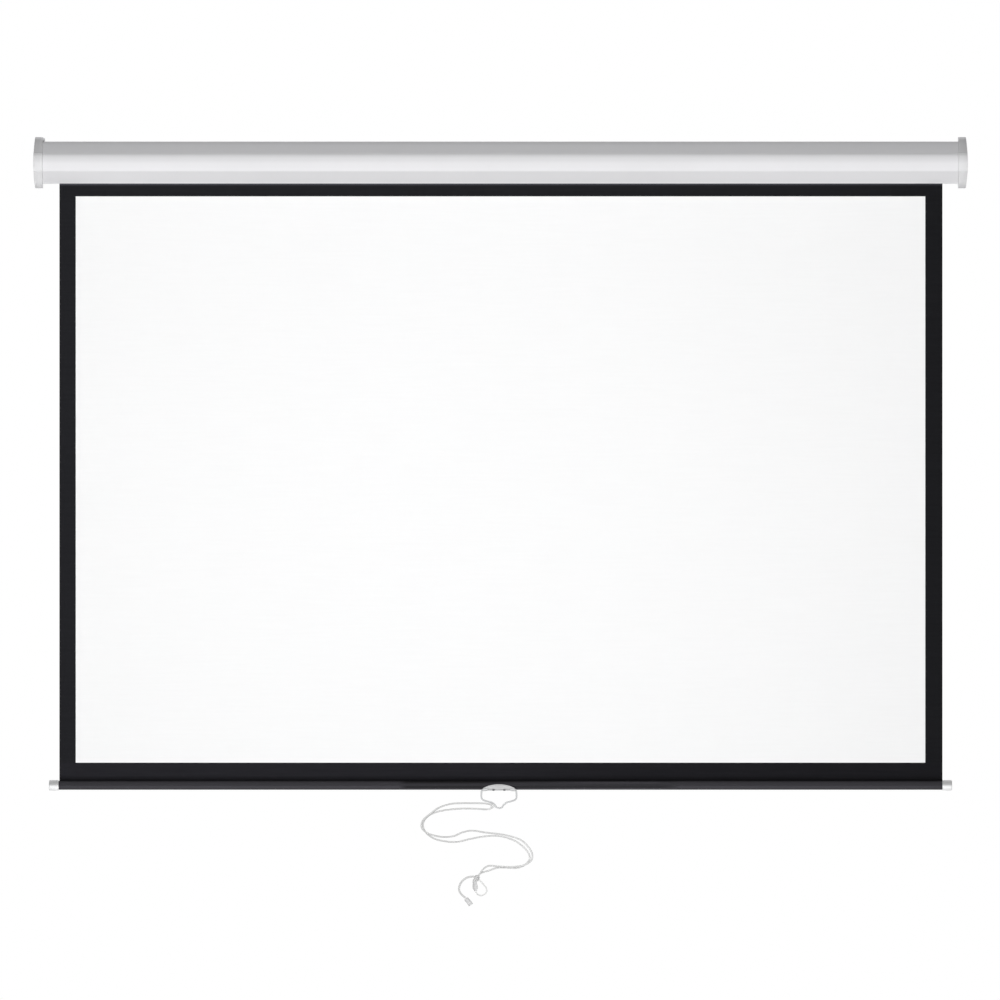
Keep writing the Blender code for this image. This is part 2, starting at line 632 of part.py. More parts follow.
def make_spring():
    tip = ANCHOR_LENGTH + SPRING_SEAT
    anchor = [(TUBE_BORE - CLEAR, ANCHOR_LENGTH), (TUBE_BORE - CLEAR, 0), (SHAFT_BORE, 0),
              (SHAFT_BORE, tip), (SPIGOT_RADIUS, tip), (SPIGOT_RADIUS, ANCHOR_LENGTH)]
    turned("spring_anchor", anchor, "nylon", ring=True, turn=ALONG_X,
           place=(SPRING_START - CLEAR - ANCHOR_LENGTH, ROLLER_Y, 0))
    corners = 8
    coil = (SPIGOT_RADIUS + CLEAR + SPRING_WIRE) / math.cos(math.pi / corners)
    rise = SPRING_LENGTH - 2 * SPRING_WIRE
    steps = SPRING_TURNS * corners
    points = []
    for i in range(steps + 1):
        angle = math.tau * i / corners
        points.append(Vector((SPRING_WIRE + rise * i / steps, coil * math.cos(angle),
                              coil * math.sin(angle))))
    print_least_gap("torsion_spring", points, SPRING_WIRE, corners // 2)
    add_object("torsion_spring", tube_curve("torsion_spring", points, SPRING_WIRE, 1),
               "spring_steel", place=(SPRING_START, ROLLER_Y, 0))


def make_wheel():
    length = CUP_DEPTH - 5 * CLEAR
    start = CUP_FLOOR + 2 * CLEAR
    wheel = add_object("ratchet_wheel", rod_mesh(WHEEL_RADIUS, length, 32), "steel",
                       place=(start + length / 2, ROLLER_Y, 0), turn=ALONG_X)
    bore = add_object("wheel_bore", rod_mesh(SHAFT_BORE, 2 * length), turn=ALONG_X,
                      place=(start + length / 2, ROLLER_Y, 0))
    boolean(wheel, bore)
    for side in (-1, 1):
        notch = add_object("wheel_notch", box_mesh((2 * length, WHEEL_RADIUS, 2 * WHEEL_NOTCH)),
                           place=(start + length / 2, ROLLER_Y + side * WHEEL_RADIUS / 2,
                                  side * WHEEL_RADIUS))
        boolean(wheel, notch)


def make_roller(axis):
    tube = [(ROLLER_RADIUS, ROLLER_LENGTH / 2), (ROLLER_RADIUS, -ROLLER_LENGTH / 2),
            (TUBE_BORE, -ROLLER_LENGTH / 2), (TUBE_BORE, ROLLER_LENGTH / 2)]
    turned("roller_tube", tube, "steel", ring=True, steps=40, turn=ALONG_X, parent=axis)
    inner = ROLLER_RADIUS + CLEAR
    roll = [(ROLL_RADIUS, FABRIC_WIDTH / 2), (ROLL_RADIUS, -FABRIC_WIDTH / 2),
            (inner, -FABRIC_WIDTH / 2), (inner, FABRIC_WIDTH / 2)]
    turned("fabric_roll", roll, "black_cloth", ring=True, steps=40, turn=ALONG_X, parent=axis)
    seat = TUBE_BORE - CLEAR
    plug = [(seat, PLUG_LENGTH), (seat, -CLEAR), (ROLLER_RADIUS, -CLEAR),
            (ROLLER_RADIUS, -CLEAR - PLUG_RIM), (SHAFT_BORE, -CLEAR - PLUG_RIM),
            (SHAFT_BORE, PLUG_LENGTH)]
    turned("left_roller_plug", plug, "acetal", ring=True, place=(-TUBE_END, 0, 0),
           turn=ALONG_X, parent=axis)
    start = -TUBE_END + PLUG_LENGTH * 0.75
    end = -(TUBE_END + CLEAR + PLUG_RIM + END_PLAY + BUSH_RIM + BUSH_LENGTH)
    add_object("gudgeon_pin", rod_mesh(SHAFT_RADIUS, start - end), "steel",
               place=((start + end) / 2, 0, 0), turn=ALONG_X, parent=axis)
    cup_bore = CUP_RADIUS - CUP_WALL
    floor, top = CLEAR + PLUG_RIM, CLEAR + PLUG_RIM + CUP_DEPTH
    carrier = [(CUP_RADIUS, top), (CUP_RADIUS, CLEAR), (seat, CLEAR), (seat, -PLUG_LENGTH),
               (SPIGOT_RADIUS, -PLUG_LENGTH), (SPIGOT_RADIUS, -PLUG_LENGTH - SPRING_SEAT),
               (SHAFT_BORE, -PLUG_LENGTH - SPRING_SEAT), (SHAFT_BORE, floor), (cup_bore, floor),
               (cup_bore, top)]
    cup = turned("right_roller_plug", carrier, "acetal", ring=True, steps=32,
                 place=(TUBE_END, 0, 0), turn=ALONG_X, parent=axis)
    for word, side in (("rear", 1), ("front", -1)):
        hole = add_object("pin_hole_" + word, rod_mesh(PAWL_PIN + CLEAR, 4 * PLUG_RIM, 16),
                          place=(TUBE_END, side * PAWL_PIVOT, 0), turn=ALONG_X, parent=axis)
        boolean(cup, hole)
        make_pawl(word, side, axis)


def make_pawl(word, side, axis):
    # A tear-drop round its pin, thrown out against the cup, on one side of the wheel.
    pivot = holder_empty("pawl_pivot_" + word, (0, side * PAWL_PIVOT, 0), axis)
    head = PAWL_SEAT + PAWL_THICK + CLEAR
    floor = TUBE_END + CLEAR
    profile = [(0, head + 4 * CLEAR), (2 * PAWL_PIN, head + 4 * CLEAR), (2 * PAWL_PIN, head),
               (PAWL_PIN, head), (PAWL_PIN, floor), (0, floor)]
    turned("pawl_pin_" + word, profile, "steel", steps=16, turn=ALONG_X, parent=pivot)
    turn = 0 if side > 0 else 180
    angle = PAWL_ANGLE + turn
    lean = math.degrees(math.asin((PAWL_HEEL - PAWL_TIP) / PAWL_REACH))
    tip = (PAWL_REACH * math.cos(math.radians(angle)), PAWL_REACH * math.sin(math.radians(angle)))
    drop = (arc(PAWL_HEEL, angle + 90 - lean, angle + 270 + lean, 12)
            + arc(PAWL_TIP, angle - 90 + lean, angle + 90 - lean, 8, tip))
    hole = arc(PAWL_PIN + CLEAR, 0, 337.5, 15)
    add_object("lock_pawl_" + word, outline_mesh([drop, hole], PAWL_THICK), "brass",
               place=(PAWL_SEAT + PAWL_THICK / 2, 0, 0), turn=FACING_X, parent=pivot)


def make_fabric(bar):
    # The cloth is one plane, told apart by colour, and each tile keeps clear of the next.
    half, edge, gap = FIELD_WIDTH / 2, FABRIC_WIDTH / 2, CLEAR / 2
    low, high = FIELD_BOTTOM + gap, -TOP_BORDER - gap
    tiles = [
        ("fabric_field", "white_cloth", gap - half, half - gap, low, high),
        ("border_top", "black_cloth", -edge, edge, high + CLEAR, 0),
        ("border_left", "black_cloth", -edge, -half - gap, low, high),
        ("border_right", "black_cloth", half + gap, edge, low, high),
        ("border_bottom", "black_cloth", -edge, edge, HEM_Z, low - CLEAR),
    ]
    for name, finish, left, right, bottom, top in tiles:
        size = (right - left, FABRIC_THICK, top - bottom)
        place = ((left + right) / 2, 0, (bottom + top) / 2 - BAR_Z)
        add_object(name, box_mesh(size), finish, place=place, parent=bar)


def make_weight_bar(bar):
    middle = BAR_RADIUS - BAR_WALL / 2
    opening = math.degrees(math.asin(BAR_SLOT / 2 / middle))
    shape = bmesh.new()
    profile = arc(BAR_RADIUS, 90 + opening, 450 - opening, 32)
    rows = [[shape.verts.new((x, y, z)) for y, z in profile] for x in (-BAR_END, BAR_END)]
    for i in range(len(profile) - 1):
        shape.faces.new((rows[0][i], rows[0][i + 1], rows[1][i + 1], rows[1][i]))
    mesh = bpy.data.meshes.new("weight_bar")
    shape.to_mesh(mesh)
    shape.free()
    tube = add_object("weight_bar", mesh, "black_paint", parent=bar)
    thick = tube.modifiers.new("wall", 'SOLIDIFY')
    thick.thickness = BAR_WALL
    thick.offset = -1
    spline_length = BAR_LENGTH - 2 * BAR_PLUG_SEAT - 4 * CLEAR
    add_object("hem_spline", rod_mesh(SPLINE_RADIUS, spline_length, 16), "white_plastic",
               place=(0, 0, SPLINE_Z - BAR_Z), turn=ALONG_X, parent=bar)
    seat = BAR_RADIUS - BAR_WALL - CLEAR
    profile = [(0, BAR_PLUG_LENGTH), (BAR_PLUG_RADIUS - CAP_EDGE, BAR_PLUG_LENGTH),
               (BAR_PLUG_RADIUS, BAR_PLUG_LENGTH - CAP_EDGE), (BAR_PLUG_RADIUS, CLEAR),
               (seat, CLEAR), (seat, -BAR_PLUG_SEAT), (0, -BAR_PLUG_SEAT)]
    for word, side in (("left", -1), ("right", 1)):
        turned("bar_plug_" + word, profile, "white_plastic", steps=32,
               place=(side * BAR_END, 0, 0), turn=aim((side, 0, 0)), parent=bar)
    return tube


def make_handle(bar, tube):
    # A clip that hugs the bar from below, its arched top edge cut from a round tube.
    inner, outer = BAR_RADIUS + CLEAR, BAR_RADIUS + CLEAR + SADDLE_WALL
    saddle = add_object("handle_saddle", rod_mesh(outer, SADDLE_WIDTH, 40), "pale_plastic",
                        place=(HANDLE_X, 0, 0), turn=ALONG_X, parent=bar)
    half = SADDLE_WIDTH / 2
    bow = (half**2 + SADDLE_SAG**2) / (2 * SADDLE_SAG)
    spread = math.degrees(math.asin(half * 1.02 / bow))
    arch = arc(bow, 90 + spread, 90 - spread, 16, (0, SADDLE_RISE - bow))
    arch += [(half * 1.02, -2 * outer), (-half * 1.02, -2 * outer)]
    boolean(saddle, add_object("saddle_arch", outline_mesh([arch], 4 * outer),
                               place=(HANDLE_X, 0, 0), turn=FACING_Y, parent=bar), 'INTERSECT')
    for side in (-1, 1):
        lug = add_object("saddle_lug", rod_mesh(LUG_RADIUS, LUG_LENGTH, 20), turn=ALONG_X,
                         place=(HANDLE_X + side * (half - LUG_LENGTH / 2), -LUG_OFFSET,
                                -LUG_OFFSET), parent=bar)
        boolean(saddle, lug, 'UNION')
    boolean(saddle, add_object("saddle_bore", rod_mesh(inner, 2 * SADDLE_WIDTH, 32),
                               place=(HANDLE_X, 0, 0), turn=ALONG_X, parent=bar))
    tilt = math.radians(HANDLE_SCREW_TILT)
    down = Vector((0, -math.sin(tilt), -math.cos(tilt)))
    length = SADDLE_WALL + BAR_WALL + 6 * CLEAR
    for word, side in (("left", -1), ("right", 1)):
        bore = add_object("lug_bore", rod_mesh(WIRE_RADIUS + CLEAR, 2 * LUG_LENGTH, 16),
                          place=(HANDLE_X + side * half, -LUG_OFFSET, -LUG_OFFSET),
                          turn=ALONG_X, parent=bar)
        boolean(saddle, bore)
        place = Vector((HANDLE_X + side * HANDLE_SCREW_X, 0, 0)) + down * (outer + CLEAR)
        screw("handle_screw_" + word, place, down, "black_screw", bar, length)
        screw_hole(saddle, place, down, bar, length)
        screw_hole(tube, place, down, bar, length)


def millimetres(route):
    return [Vector((x / 1000, 0, z / 1000)) for x, z in route]


def bail_wire():
    # The left half of the wire, from its end in the lug, measured from the pivots' middle.
    end = SADDLE_WIDTH / 2
    seated = Vector((LUG_LENGTH - LUG_END - end, 0, 0))
    return [seated] + [Vector((-end - out / 1000, 0, up / 1000)) for out, up in BAIL_WIRE]


def hitch_middle():
    return bail_wire()[HITCH_STEP + 1]


def spindle(name, ends, profile, finish, parent):
    # A round piece whose profile is given from its first end (height 0) to its second.
    first, last = millimetres(ends)
    length = (last - first).length
    points = [(radius, -share * length) for radius, share in profile]
    return turned(name, points, finish, steps=20, place=first, turn=aim(first - last),
                  parent=parent)


def barrel(radius, ridges, ends):
    # Wrapped turns seen from outside: rounded ridges between two flat ends.
    points = [(0, 0), (radius * ends, 0)]
    for ridge in range(ridges):
        for step in range(1, 4):
            swell = 0.90 + 0.10 * math.sin(math.pi * step / 4)
            points.append((radius * swell, (ridge + step / 4) / ridges))
    return points + [(radius * ends, 1), (0, 1)]


def strand_path(route, side):
    # The strand leaves the hitch in the bail's plane, and soon runs on its own side of it.
    depths = [0, 0.2] + [1] * (len(route) - 2)
    apart = side * (CORD_RADIUS + STRAND_GAP / 2)
    return [point + Vector((0, apart * share, 0))
            for point, share in zip(millimetres(route), depths)]


def make_cord(pivot):
    plane = holder_empty("cord_plane", hitch_middle(), pivot)
    for name, route, side in (("cord_front", FRONT_ROUTE, -1), ("cord_back", BACK_ROUTE, 1)):
        points = smooth_route(strand_path(route, side), STRAND_STEP)
        print_least_gap(name, points, CORD_RADIUS, 3)
        add_object(name, tube_curve(name, points, CORD_RADIUS, 2), "cord_yarn", parent=plane)
    for name, route, radius in (("cord_tail", TAIL_ROUTE, CORD_RADIUS),
                                ("cord_loop", LOOP_ROUTE, LOOP_RADIUS)):
        points = smooth_route(millimetres(route), SHORT_STEP)
        add_object(name, tube_curve(name, points, radius, 2), "cord_yarn", parent=plane)
    spindle("end_knot", KNOT_ENDS, barrel(KNOT_RADIUS, 3, 0.68), "cord_yarn", plane)
    spindle("cord_toggle", TOGGLE_ENDS, TOGGLE_PROFILE, "pale_plastic", plane)
    spindle("cord_tassel", TASSEL_ENDS, TASSEL_PROFILE, "pale_plastic", plane)


def make_bail(pivot):
    left = bail_wire()
    right = [Vector((-point.x, 0, point.z)) for point in reversed(left)]
    tip = Vector((0, 0, BAIL_POINT / 1000))
    path = smooth_route(left + [tip] + right, BAIL_STEP)
    add_object("pull_bail", tube_curve("pull_bail", path, WIRE_RADIUS, 2), "pale_plastic",
               parent=pivot)
    # The cord's hitch: turns round the wire, and the bight that crosses beside it.
    middle = hitch_middle()
    run = (left[HITCH_STEP + 2] - left[HITCH_STEP]).normalized()
    profile = [(radius, (0.5 - share) * HITCH_LENGTH)
               for radius, share in barrel(HITCH_RADIUS, 3, 0.75)]
    hitch = turned("hitch_knot", profile, "cord_yarn", steps=20, place=middle, turn=aim(run),
                   parent=pivot)
    top, foot = millimetres(BIGHT_ENDS)
    length = (top - foot).length
    cheek = BIGHT_RADIUS / length
    bight = [(0, 0), (BIGHT_RADIUS * 0.7, cheek * 0.3), (BIGHT_RADIUS, cheek),
             (BIGHT_RADIUS, 1 - cheek), (BIGHT_RADIUS * 0.7, 1 - cheek * 0.3), (0, 1)]
    boolean(hitch, turned("hitch_bight", [(r, -share * length) for r, share in bight], steps=20,
                          place=middle + top, parent=pivot), 'UNION')
    wire = mesh_of_curve(tube_curve("wire_room", path, WIRE_RADIUS + CLEAR, 2))
    boolean(hitch, add_object("wire_room", wire, parent=pivot))


def make_screen():
    clear_scene()
    make_materials()
    make_case()
    make_shaft()
    make_spring()
    make_wheel()
    make_roller(holder_empty("roller_axis", (0, ROLLER_Y, 0)))
    bar = holder_empty("bar_centre", (0, FABRIC_Y, BAR_Z))
    make_fabric(bar)
    make_handle(bar, make_weight_bar(bar))
    pivot = holder_empty("bail_pivot", (HANDLE_X, BAIL_Y - FABRIC_Y, BAIL_Z - BAR_Z), bar)
    make_cord(pivot)
    make_bail(pivot)


make_screen()
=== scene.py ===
import bpy
import bmesh
import math
import numpy as np
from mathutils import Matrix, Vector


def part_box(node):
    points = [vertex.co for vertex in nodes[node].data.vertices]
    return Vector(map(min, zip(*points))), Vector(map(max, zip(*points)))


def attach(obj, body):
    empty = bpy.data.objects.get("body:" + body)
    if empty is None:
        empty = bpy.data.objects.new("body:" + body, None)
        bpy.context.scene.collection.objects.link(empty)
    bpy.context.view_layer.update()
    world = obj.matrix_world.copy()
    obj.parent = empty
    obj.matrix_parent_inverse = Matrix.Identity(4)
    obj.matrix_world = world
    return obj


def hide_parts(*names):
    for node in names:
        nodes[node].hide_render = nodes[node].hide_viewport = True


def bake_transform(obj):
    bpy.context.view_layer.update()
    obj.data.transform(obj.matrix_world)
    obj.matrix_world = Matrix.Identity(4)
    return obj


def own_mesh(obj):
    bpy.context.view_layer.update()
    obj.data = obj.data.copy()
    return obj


# Pull-down projector screen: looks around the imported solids. Metres, screen faces -Y, Z is up.

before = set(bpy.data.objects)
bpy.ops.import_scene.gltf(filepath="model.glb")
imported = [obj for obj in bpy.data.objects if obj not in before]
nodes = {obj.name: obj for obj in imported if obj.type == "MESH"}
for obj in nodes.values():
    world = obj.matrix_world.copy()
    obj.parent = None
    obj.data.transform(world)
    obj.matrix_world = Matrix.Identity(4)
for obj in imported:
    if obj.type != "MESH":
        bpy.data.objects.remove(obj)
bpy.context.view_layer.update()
print("frame loaded:", len(nodes), "nodes")


def reach(node, axis, high=True):
    # Where a solid's box ends along an axis, to a thousandth of a millimetre.
    return round(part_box(node)[1 if high else 0]["xyz".index(axis)], 6)


def middle(node, axis):
    return (reach(node, axis, False) + reach(node, axis)) / 2


def seam(lower, upper, axis):
    # Halfway across the gap between two solids that meet along an axis.
    return (reach(lower, axis) + reach(upper, axis, False)) / 2


layout = {                       # places that several pieces share
    "caseEnd": reach("case_shell", "x"),
    "caseHalf": reach("case_shell", "z"),
    "rollerY": middle("roller_tube", "y"),
    "fabricY": middle("fabric_field", "y"),
    "fabricThick": 0.0004,
    "fieldHalf": seam("fabric_field", "border_right", "x"),
    "fabricHalf": reach("border_right", "x"),
    "fieldTop": seam("fabric_field", "border_top", "z"),
    "fieldBottom": seam("border_bottom", "fabric_field", "z"),
    "rodZ": middle("hem_spline", "z"),
    "barZ": middle("bar_plug_left", "z"),
    "barHalf": reach("weight_bar", "x"),
    "handleX": middle("handle_saddle", "x"),
    "saddleHalf": 0.0281,
    "lugOffset": 0.0077782,      # the bail's pivots lie this far before and below the bar
    "hitchX": -0.0122,
    "hitchDrop": 0.0251,         # from the bail's pivots down to the hitch
}
layout["bailY"] = layout["fabricY"] - layout["lugOffset"]
layout["bailZ"] = layout["barZ"] - layout["lugOffset"]
hitch = np.array([layout["hitchX"], layout["bailY"], layout["bailZ"] - layout["hitchDrop"]])


# Node helpers

def addObject(name, data):
    item = bpy.data.objects.new(name, data)
    bpy.context.scene.collection.objects.link(item)
    return item


def feed(tree, socket, value):
    # Links another node's output, or sets a plain value; a colour gets its fourth number.
    if isinstance(value, bpy.types.NodeSocket):
        tree.links.new(value, socket)
    else:
        socket.default_value = (*value, 1) if socket.type == 'RGBA' else value


def addNode(tree, kind, inputs, output=0, **settings):
    # Adds a node and gives back its chosen output, or all of them where output is None.
    node = tree.nodes.new(kind)
    for label, value in settings.items():
        setattr(node, label, value)
    for label, value in inputs.items():
        feed(tree, node.inputs[label], value)
    return node.outputs if output is None else node.outputs[output]


def maths(tree, operation, *values):
    return addNode(tree, 'ShaderNodeMath', dict(enumerate(values)), operation=operation)


finishes = {}


def startMaterial(name, roughness, metallic=0.0, specular=0.5):
    material = bpy.data.materials.new(name)
    material.use_nodes = True
    finishes[name] = material
    surface = material.node_tree.nodes["Principled BSDF"].inputs
    surface["Roughness"].default_value = roughness
    surface["Metallic"].default_value = metallic
    surface["Specular IOR Level"].default_value = specular
    return material.node_tree, surface


# Camera, light and floor

cameraView = {
    "lens": 1200.0,              # a very long lens, since the photograph has no perspective
    "sensor": 36.0,
    "spanX": 1.7657,             # metres of the screen's plane across the picture
    "centre": (-0.0009, -0.0321, -0.59566),
    "clip": (1.0, 200.0),
}
camera = addObject("camera", bpy.data.cameras.new("camera"))
camera.data.lens = cameraView["lens"]
camera.data.sensor_width = cameraView["sensor"]
camera.data.clip_start, camera.data.clip_end = cameraView["clip"]
distance = cameraView["spanX"] * cameraView["lens"] / cameraView["sensor"]
camera.location = cameraView["centre"]
camera.location.y -= distance
camera.rotation_euler = (math.radians(90), 0, 0)
bpy.context.scene.camera = camera

studio = {                       # turns, spreads and angles are in degrees
    "worldLight": 0.22,          # even light from all round
    "worldColour": (0.98, 0.99, 1.0),
    "keyPower": 122.0,           # large panel in front, level with the middle of the screen
    "keyPlace": (-0.22, -4.0, -0.50),
    "keyTurn": (90, 0, -3),
    "keySize": (1.2, 0.8),
    "keySpread": 180.0,
    "sunPower": 1.1,             # sun from behind and above, for the wall side
    "sunPlace": (0, 4, 4),
    "sunTurn": (-62, 0, 14),
    "sunAngle": 25.0,
    "wallPower": 2.8,            # panel behind and above, for the back and top of the case
    "wallPlace": (0, 1.5, 1.1),
    "wallTurn": (-54, 0, 0),
    "wallSize": (2.2, 0.8),
    "wallSpread": 80.0,          # keeps the light off the floor, like the end panels'
    "endPower": 3.0,             # a panel beyond each end, a little behind the screen
    "endPlace": (2.7, 0.8, 0.15),
    "endTurn": (86, 0, 113.6),
    "endSize": (0.7, 0.7),
    "endSpread": 80.0,
    "floorZ": -1.62,
    "floorHalf": 9.0,
    "floorColour": 0.82,
    "floorLift": 0.62,           # added for the camera alone, so that the lit floor is white
}


def addLamp(name, part, mirror=1):
    # A lamp with its part's values in studio; mirror is -1 for the left one of a pair.
    lamp = bpy.data.lights.new(name, 'AREA' if part + "Size" in studio else 'SUN')
    lamp.energy = studio[part + "Power"]
    if lamp.type == 'AREA':
        lamp.shape = 'RECTANGLE'
        lamp.size, lamp.size_y = studio[part + "Size"]
        lamp.spread = math.radians(studio[part + "Spread"])
    else:
        lamp.angle = math.radians(studio[part + "Angle"])
    item = addObject(name, lamp)
    item.location = studio[part + "Place"]
    item.location.x *= mirror
    item.rotation_euler = [math.radians(a) for a in studio[part + "Turn"]]
    item.rotation_euler.z *= mirror
    item.visible_glossy = False  # gloss shows the white surroundings, not the lamps


addLamp("keyPanel", "key")
addLamp("backSun", "sun")
addLamp("wallPanel", "wall")
addLamp("leftPanel", "end", -1)
addLamp("rightPanel", "end")


def seenOrMirrored(tree):
    # 1 for what the camera, a mirror or a clear piece sees, and 0 for light on a surface.
    path = addNode(tree, 'ShaderNodeLightPath', {}, None)
    seen = maths(tree, 'MAXIMUM', path["Is Camera Ray"], path["Is Glossy Ray"])
    return maths(tree, 'MAXIMUM', seen, path["Is Transmission Ray"])


world = bpy.data.worlds.new("studioWorld")
bpy.context.scene.world = world
world.use_nodes = True
worldTree = world.node_tree
worldTree.nodes.clear()
soft = addNode(worldTree, 'ShaderNodeBackground',
               {"Color": studio["worldColour"], "Strength": studio["worldLight"]})
white = addNode(worldTree, 'ShaderNodeBackground', {"Color": (1, 1, 1)})
worldMix = addNode(worldTree, 'ShaderNodeMixShader',
                   {0: seenOrMirrored(worldTree), 1: soft, 2: white})
addNode(worldTree, 'ShaderNodeOutputWorld', {0: worldMix}, None)

floorTree, floorSurface = startMaterial("paleFloor", 0.9, specular=0.0)
feed(floorTree, floorSurface["Base Color"], [studio["floorColour"]] * 3)
feed(floorTree, floorSurface["Emission Strength"], studio["floorLift"])
feed(floorTree, floorSurface["Emission Color"], seenOrMirrored(floorTree))
half, level = studio["floorHalf"], studio["floorZ"]
floorMesh = bpy.data.meshes.new("floor")
floorMesh.from_pydata([(-half, -half, level), (half, -half, level), (half, half, level),
                       (-half, half, level)], [], [(0, 1, 2, 3)])
floorMesh.materials.append(finishes["paleFloor"])
floor = addObject("floor", floorMesh)

view = bpy.context.scene.view_settings
view.view_transform = 'Standard'
print("camera, light and floor ready")


# Shared shader groups

def newGroup(name, inputs, outputs):
    group = bpy.data.node_groups.new(name, 'ShaderNodeTree')
    for label, value in inputs.items():
        socket = group.interface.new_socket(label, in_out='INPUT',
                                            socket_type='NodeSocketFloat')
        socket.default_value = value
    for label in outputs:
        group.interface.new_socket(label, in_out='OUTPUT', socket_type='NodeSocketFloat')
    given = group.nodes.new('NodeGroupInput').outputs
    return group, given, group.nodes.new('NodeGroupOutput').inputs


def placeGroup(tree, group, values):
    return addNode(tree, 'ShaderNodeGroup', values, None, node_tree=group)


def noise(tree, vector, scale, detail=2.0, rough=0.5):
    return addNode(tree, 'ShaderNodeTexNoise', {"Vector": vector, "Scale": scale,
                                                "Detail": detail, "Roughness": rough})


def stretched(tree, vector, scale):
    return addNode(tree, 'ShaderNodeMapping', {"Vector": vector, "Scale": scale})


def objectPlace(tree):
    return addNode(tree, 'ShaderNodeTexCoord', {}, "Object")


def uvPlace(tree):
    return addNode(tree, 'ShaderNodeUVMap', {})


def splitUp(tree, vector):
    return addNode(tree, 'ShaderNodeSeparateXYZ', {0: vector}, None)


def makeGrain():
    # Grain: fine noise for bumps, and a soft low noise for patches of tone and gloss.
    tree, given, out = newGroup("fineGrain", {"Scale": 600.0, "Patch Scale": 9.0},
                                ["Height", "Patch"])
    where = objectPlace(tree)
    feed(tree, out["Height"], noise(tree, where, given["Scale"]))
    feed(tree, out["Patch"], noise(tree, where, given["Patch Scale"], 4.0, 0.6))
    return tree


def makeScuff():
    # Scuff: thin broken scratches, where a stretched noise passes a threshold.
    tree, given, out = newGroup("scuffMarks", {"Density": 0.35, "Scale": 140.0,
                                               "Sharpness": 8.0}, ["Mark"])
    where = stretched(tree, objectPlace(tree), (0.12, 1.0, 1.0))
    level = maths(tree, 'SUBTRACT', 1.0, given["Density"])
    over = maths(tree, 'SUBTRACT', noise(tree, where, given["Scale"], 6.0), level)
    mark = maths(tree, 'MULTIPLY', over, given["Sharpness"])
    feed(tree, out["Mark"], addNode(tree, 'ShaderNodeClamp', {0: mark}))
    return tree


def makeBrushed():
    # Brushed lines: noise drawn out along X, as on rolled or drawn metal.
    tree, given, out = newGroup("drawnLines", {"Scale": 900.0, "Tone Scale": 160.0},
                                ["Height", "Tone"])
    where = objectPlace(tree)
    for label, size, drawn, detail in (("Height", "Scale", 0.01, 3.0),
                                       ("Tone", "Tone Scale", 0.05, 4.0)):
        lines = stretched(tree, where, (drawn, 1.0, 1.0))
        feed(tree, out[label], noise(tree, lines, given[size], detail))
    return tree


def makeWeave():
    # Plain weave: in the piece's own metres, each thread is half a sine wave high, and the
    # crosswise and lengthwise threads take turns on top, like the squares of a chessboard.
    tree, given, out = newGroup("plainWeave", {"Thread": 0.0006}, ["Height", "Slub"])
    where = uvPlace(tree)
    threads = [maths(tree, 'DIVIDE', a, given["Thread"]) for a in splitUp(tree, where)[:2]]
    waves = [maths(tree, 'ABSOLUTE', maths(tree, 'SINE', maths(tree, 'MULTIPLY', a, math.pi)))
             for a in threads]
    cells = [maths(tree, 'FLOOR', a) for a in threads]
    turn = maths(tree, 'MODULO', maths(tree, 'ABSOLUTE', maths(tree, 'ADD', *cells)), 2.0)
    other = maths(tree, 'SUBTRACT', 1.0, turn)
    feed(tree, out["Height"], maths(tree, 'ADD', maths(tree, 'MULTIPLY', waves[0], turn),
                                    maths(tree, 'MULTIPLY', waves[1], other)))
    slub = noise(tree, stretched(tree, where, (3.0, 60.0, 1.0)), 4.0, 4.0, 0.6)
    feed(tree, out["Slub"], slub)
    return tree


def makeBraid():
    # Braid: two sets of slanting ridges round a cord, and what lies higher shows. The UV map
    # holds turns round the cord and metres along it.
    tree, given, out = newGroup("cordBraid", {"Step": 0.0028, "Lobes": 4.0},
                                ["Height", "Fibre"])
    where = uvPlace(tree)
    split = splitUp(tree, where)
    around = maths(tree, 'MULTIPLY', split[0], given["Lobes"])
    along = maths(tree, 'DIVIDE', split[1], given["Step"])
    ridges = [maths(tree, 'COSINE', maths(tree, 'MULTIPLY', maths(tree, kind, around, along),
                                          math.tau)) for kind in ('ADD', 'SUBTRACT')]
    feed(tree, out["Height"], maths(tree, 'MAXIMUM', *ridges))
    fibre = noise(tree, stretched(tree, where, (24.0, 2600.0, 1.0)), 1.0, 3.0)
    feed(tree, out["Fibre"], fibre)
    return tree


grain, scuff, brushed = makeGrain(), makeScuff(), makeBrushed()
weave, braid = makeWeave(), makeBraid()


# Materials

def blend(tree, share, low, high, kind='MIX'):
    return addNode(tree, 'ShaderNodeMix', {0: share, 6: low, 7: high}, 2, data_type='RGBA',
                   blend_type=kind)


def spread(tree, value, low, high, fromLow=0.3, fromHigh=0.7):
    return addNode(tree, 'ShaderNodeMapRange',
                   {"Value": value, "From Min": fromLow, "From Max": fromHigh,
                    "To Min": low, "To Max": high})


def shade(colour, share):
    return tuple(c * share for c in colour)


def mottled(tree, mask, colour, tone):
    return blend(tree, spread(tree, mask, 0, 1), shade(colour, tone), colour)


def cover(tree, surface, tint, rough, height, depth):
    # Links the colour, the roughness and a bump of this depth to the material's shader.
    bump = addNode(tree, 'ShaderNodeBump',
                   {"Strength": 1.0, "Distance": depth, "Height": height})
    for label, value in (("Base Color", tint), ("Roughness", rough), ("Normal", bump)):
        feed(tree, surface[label], value)


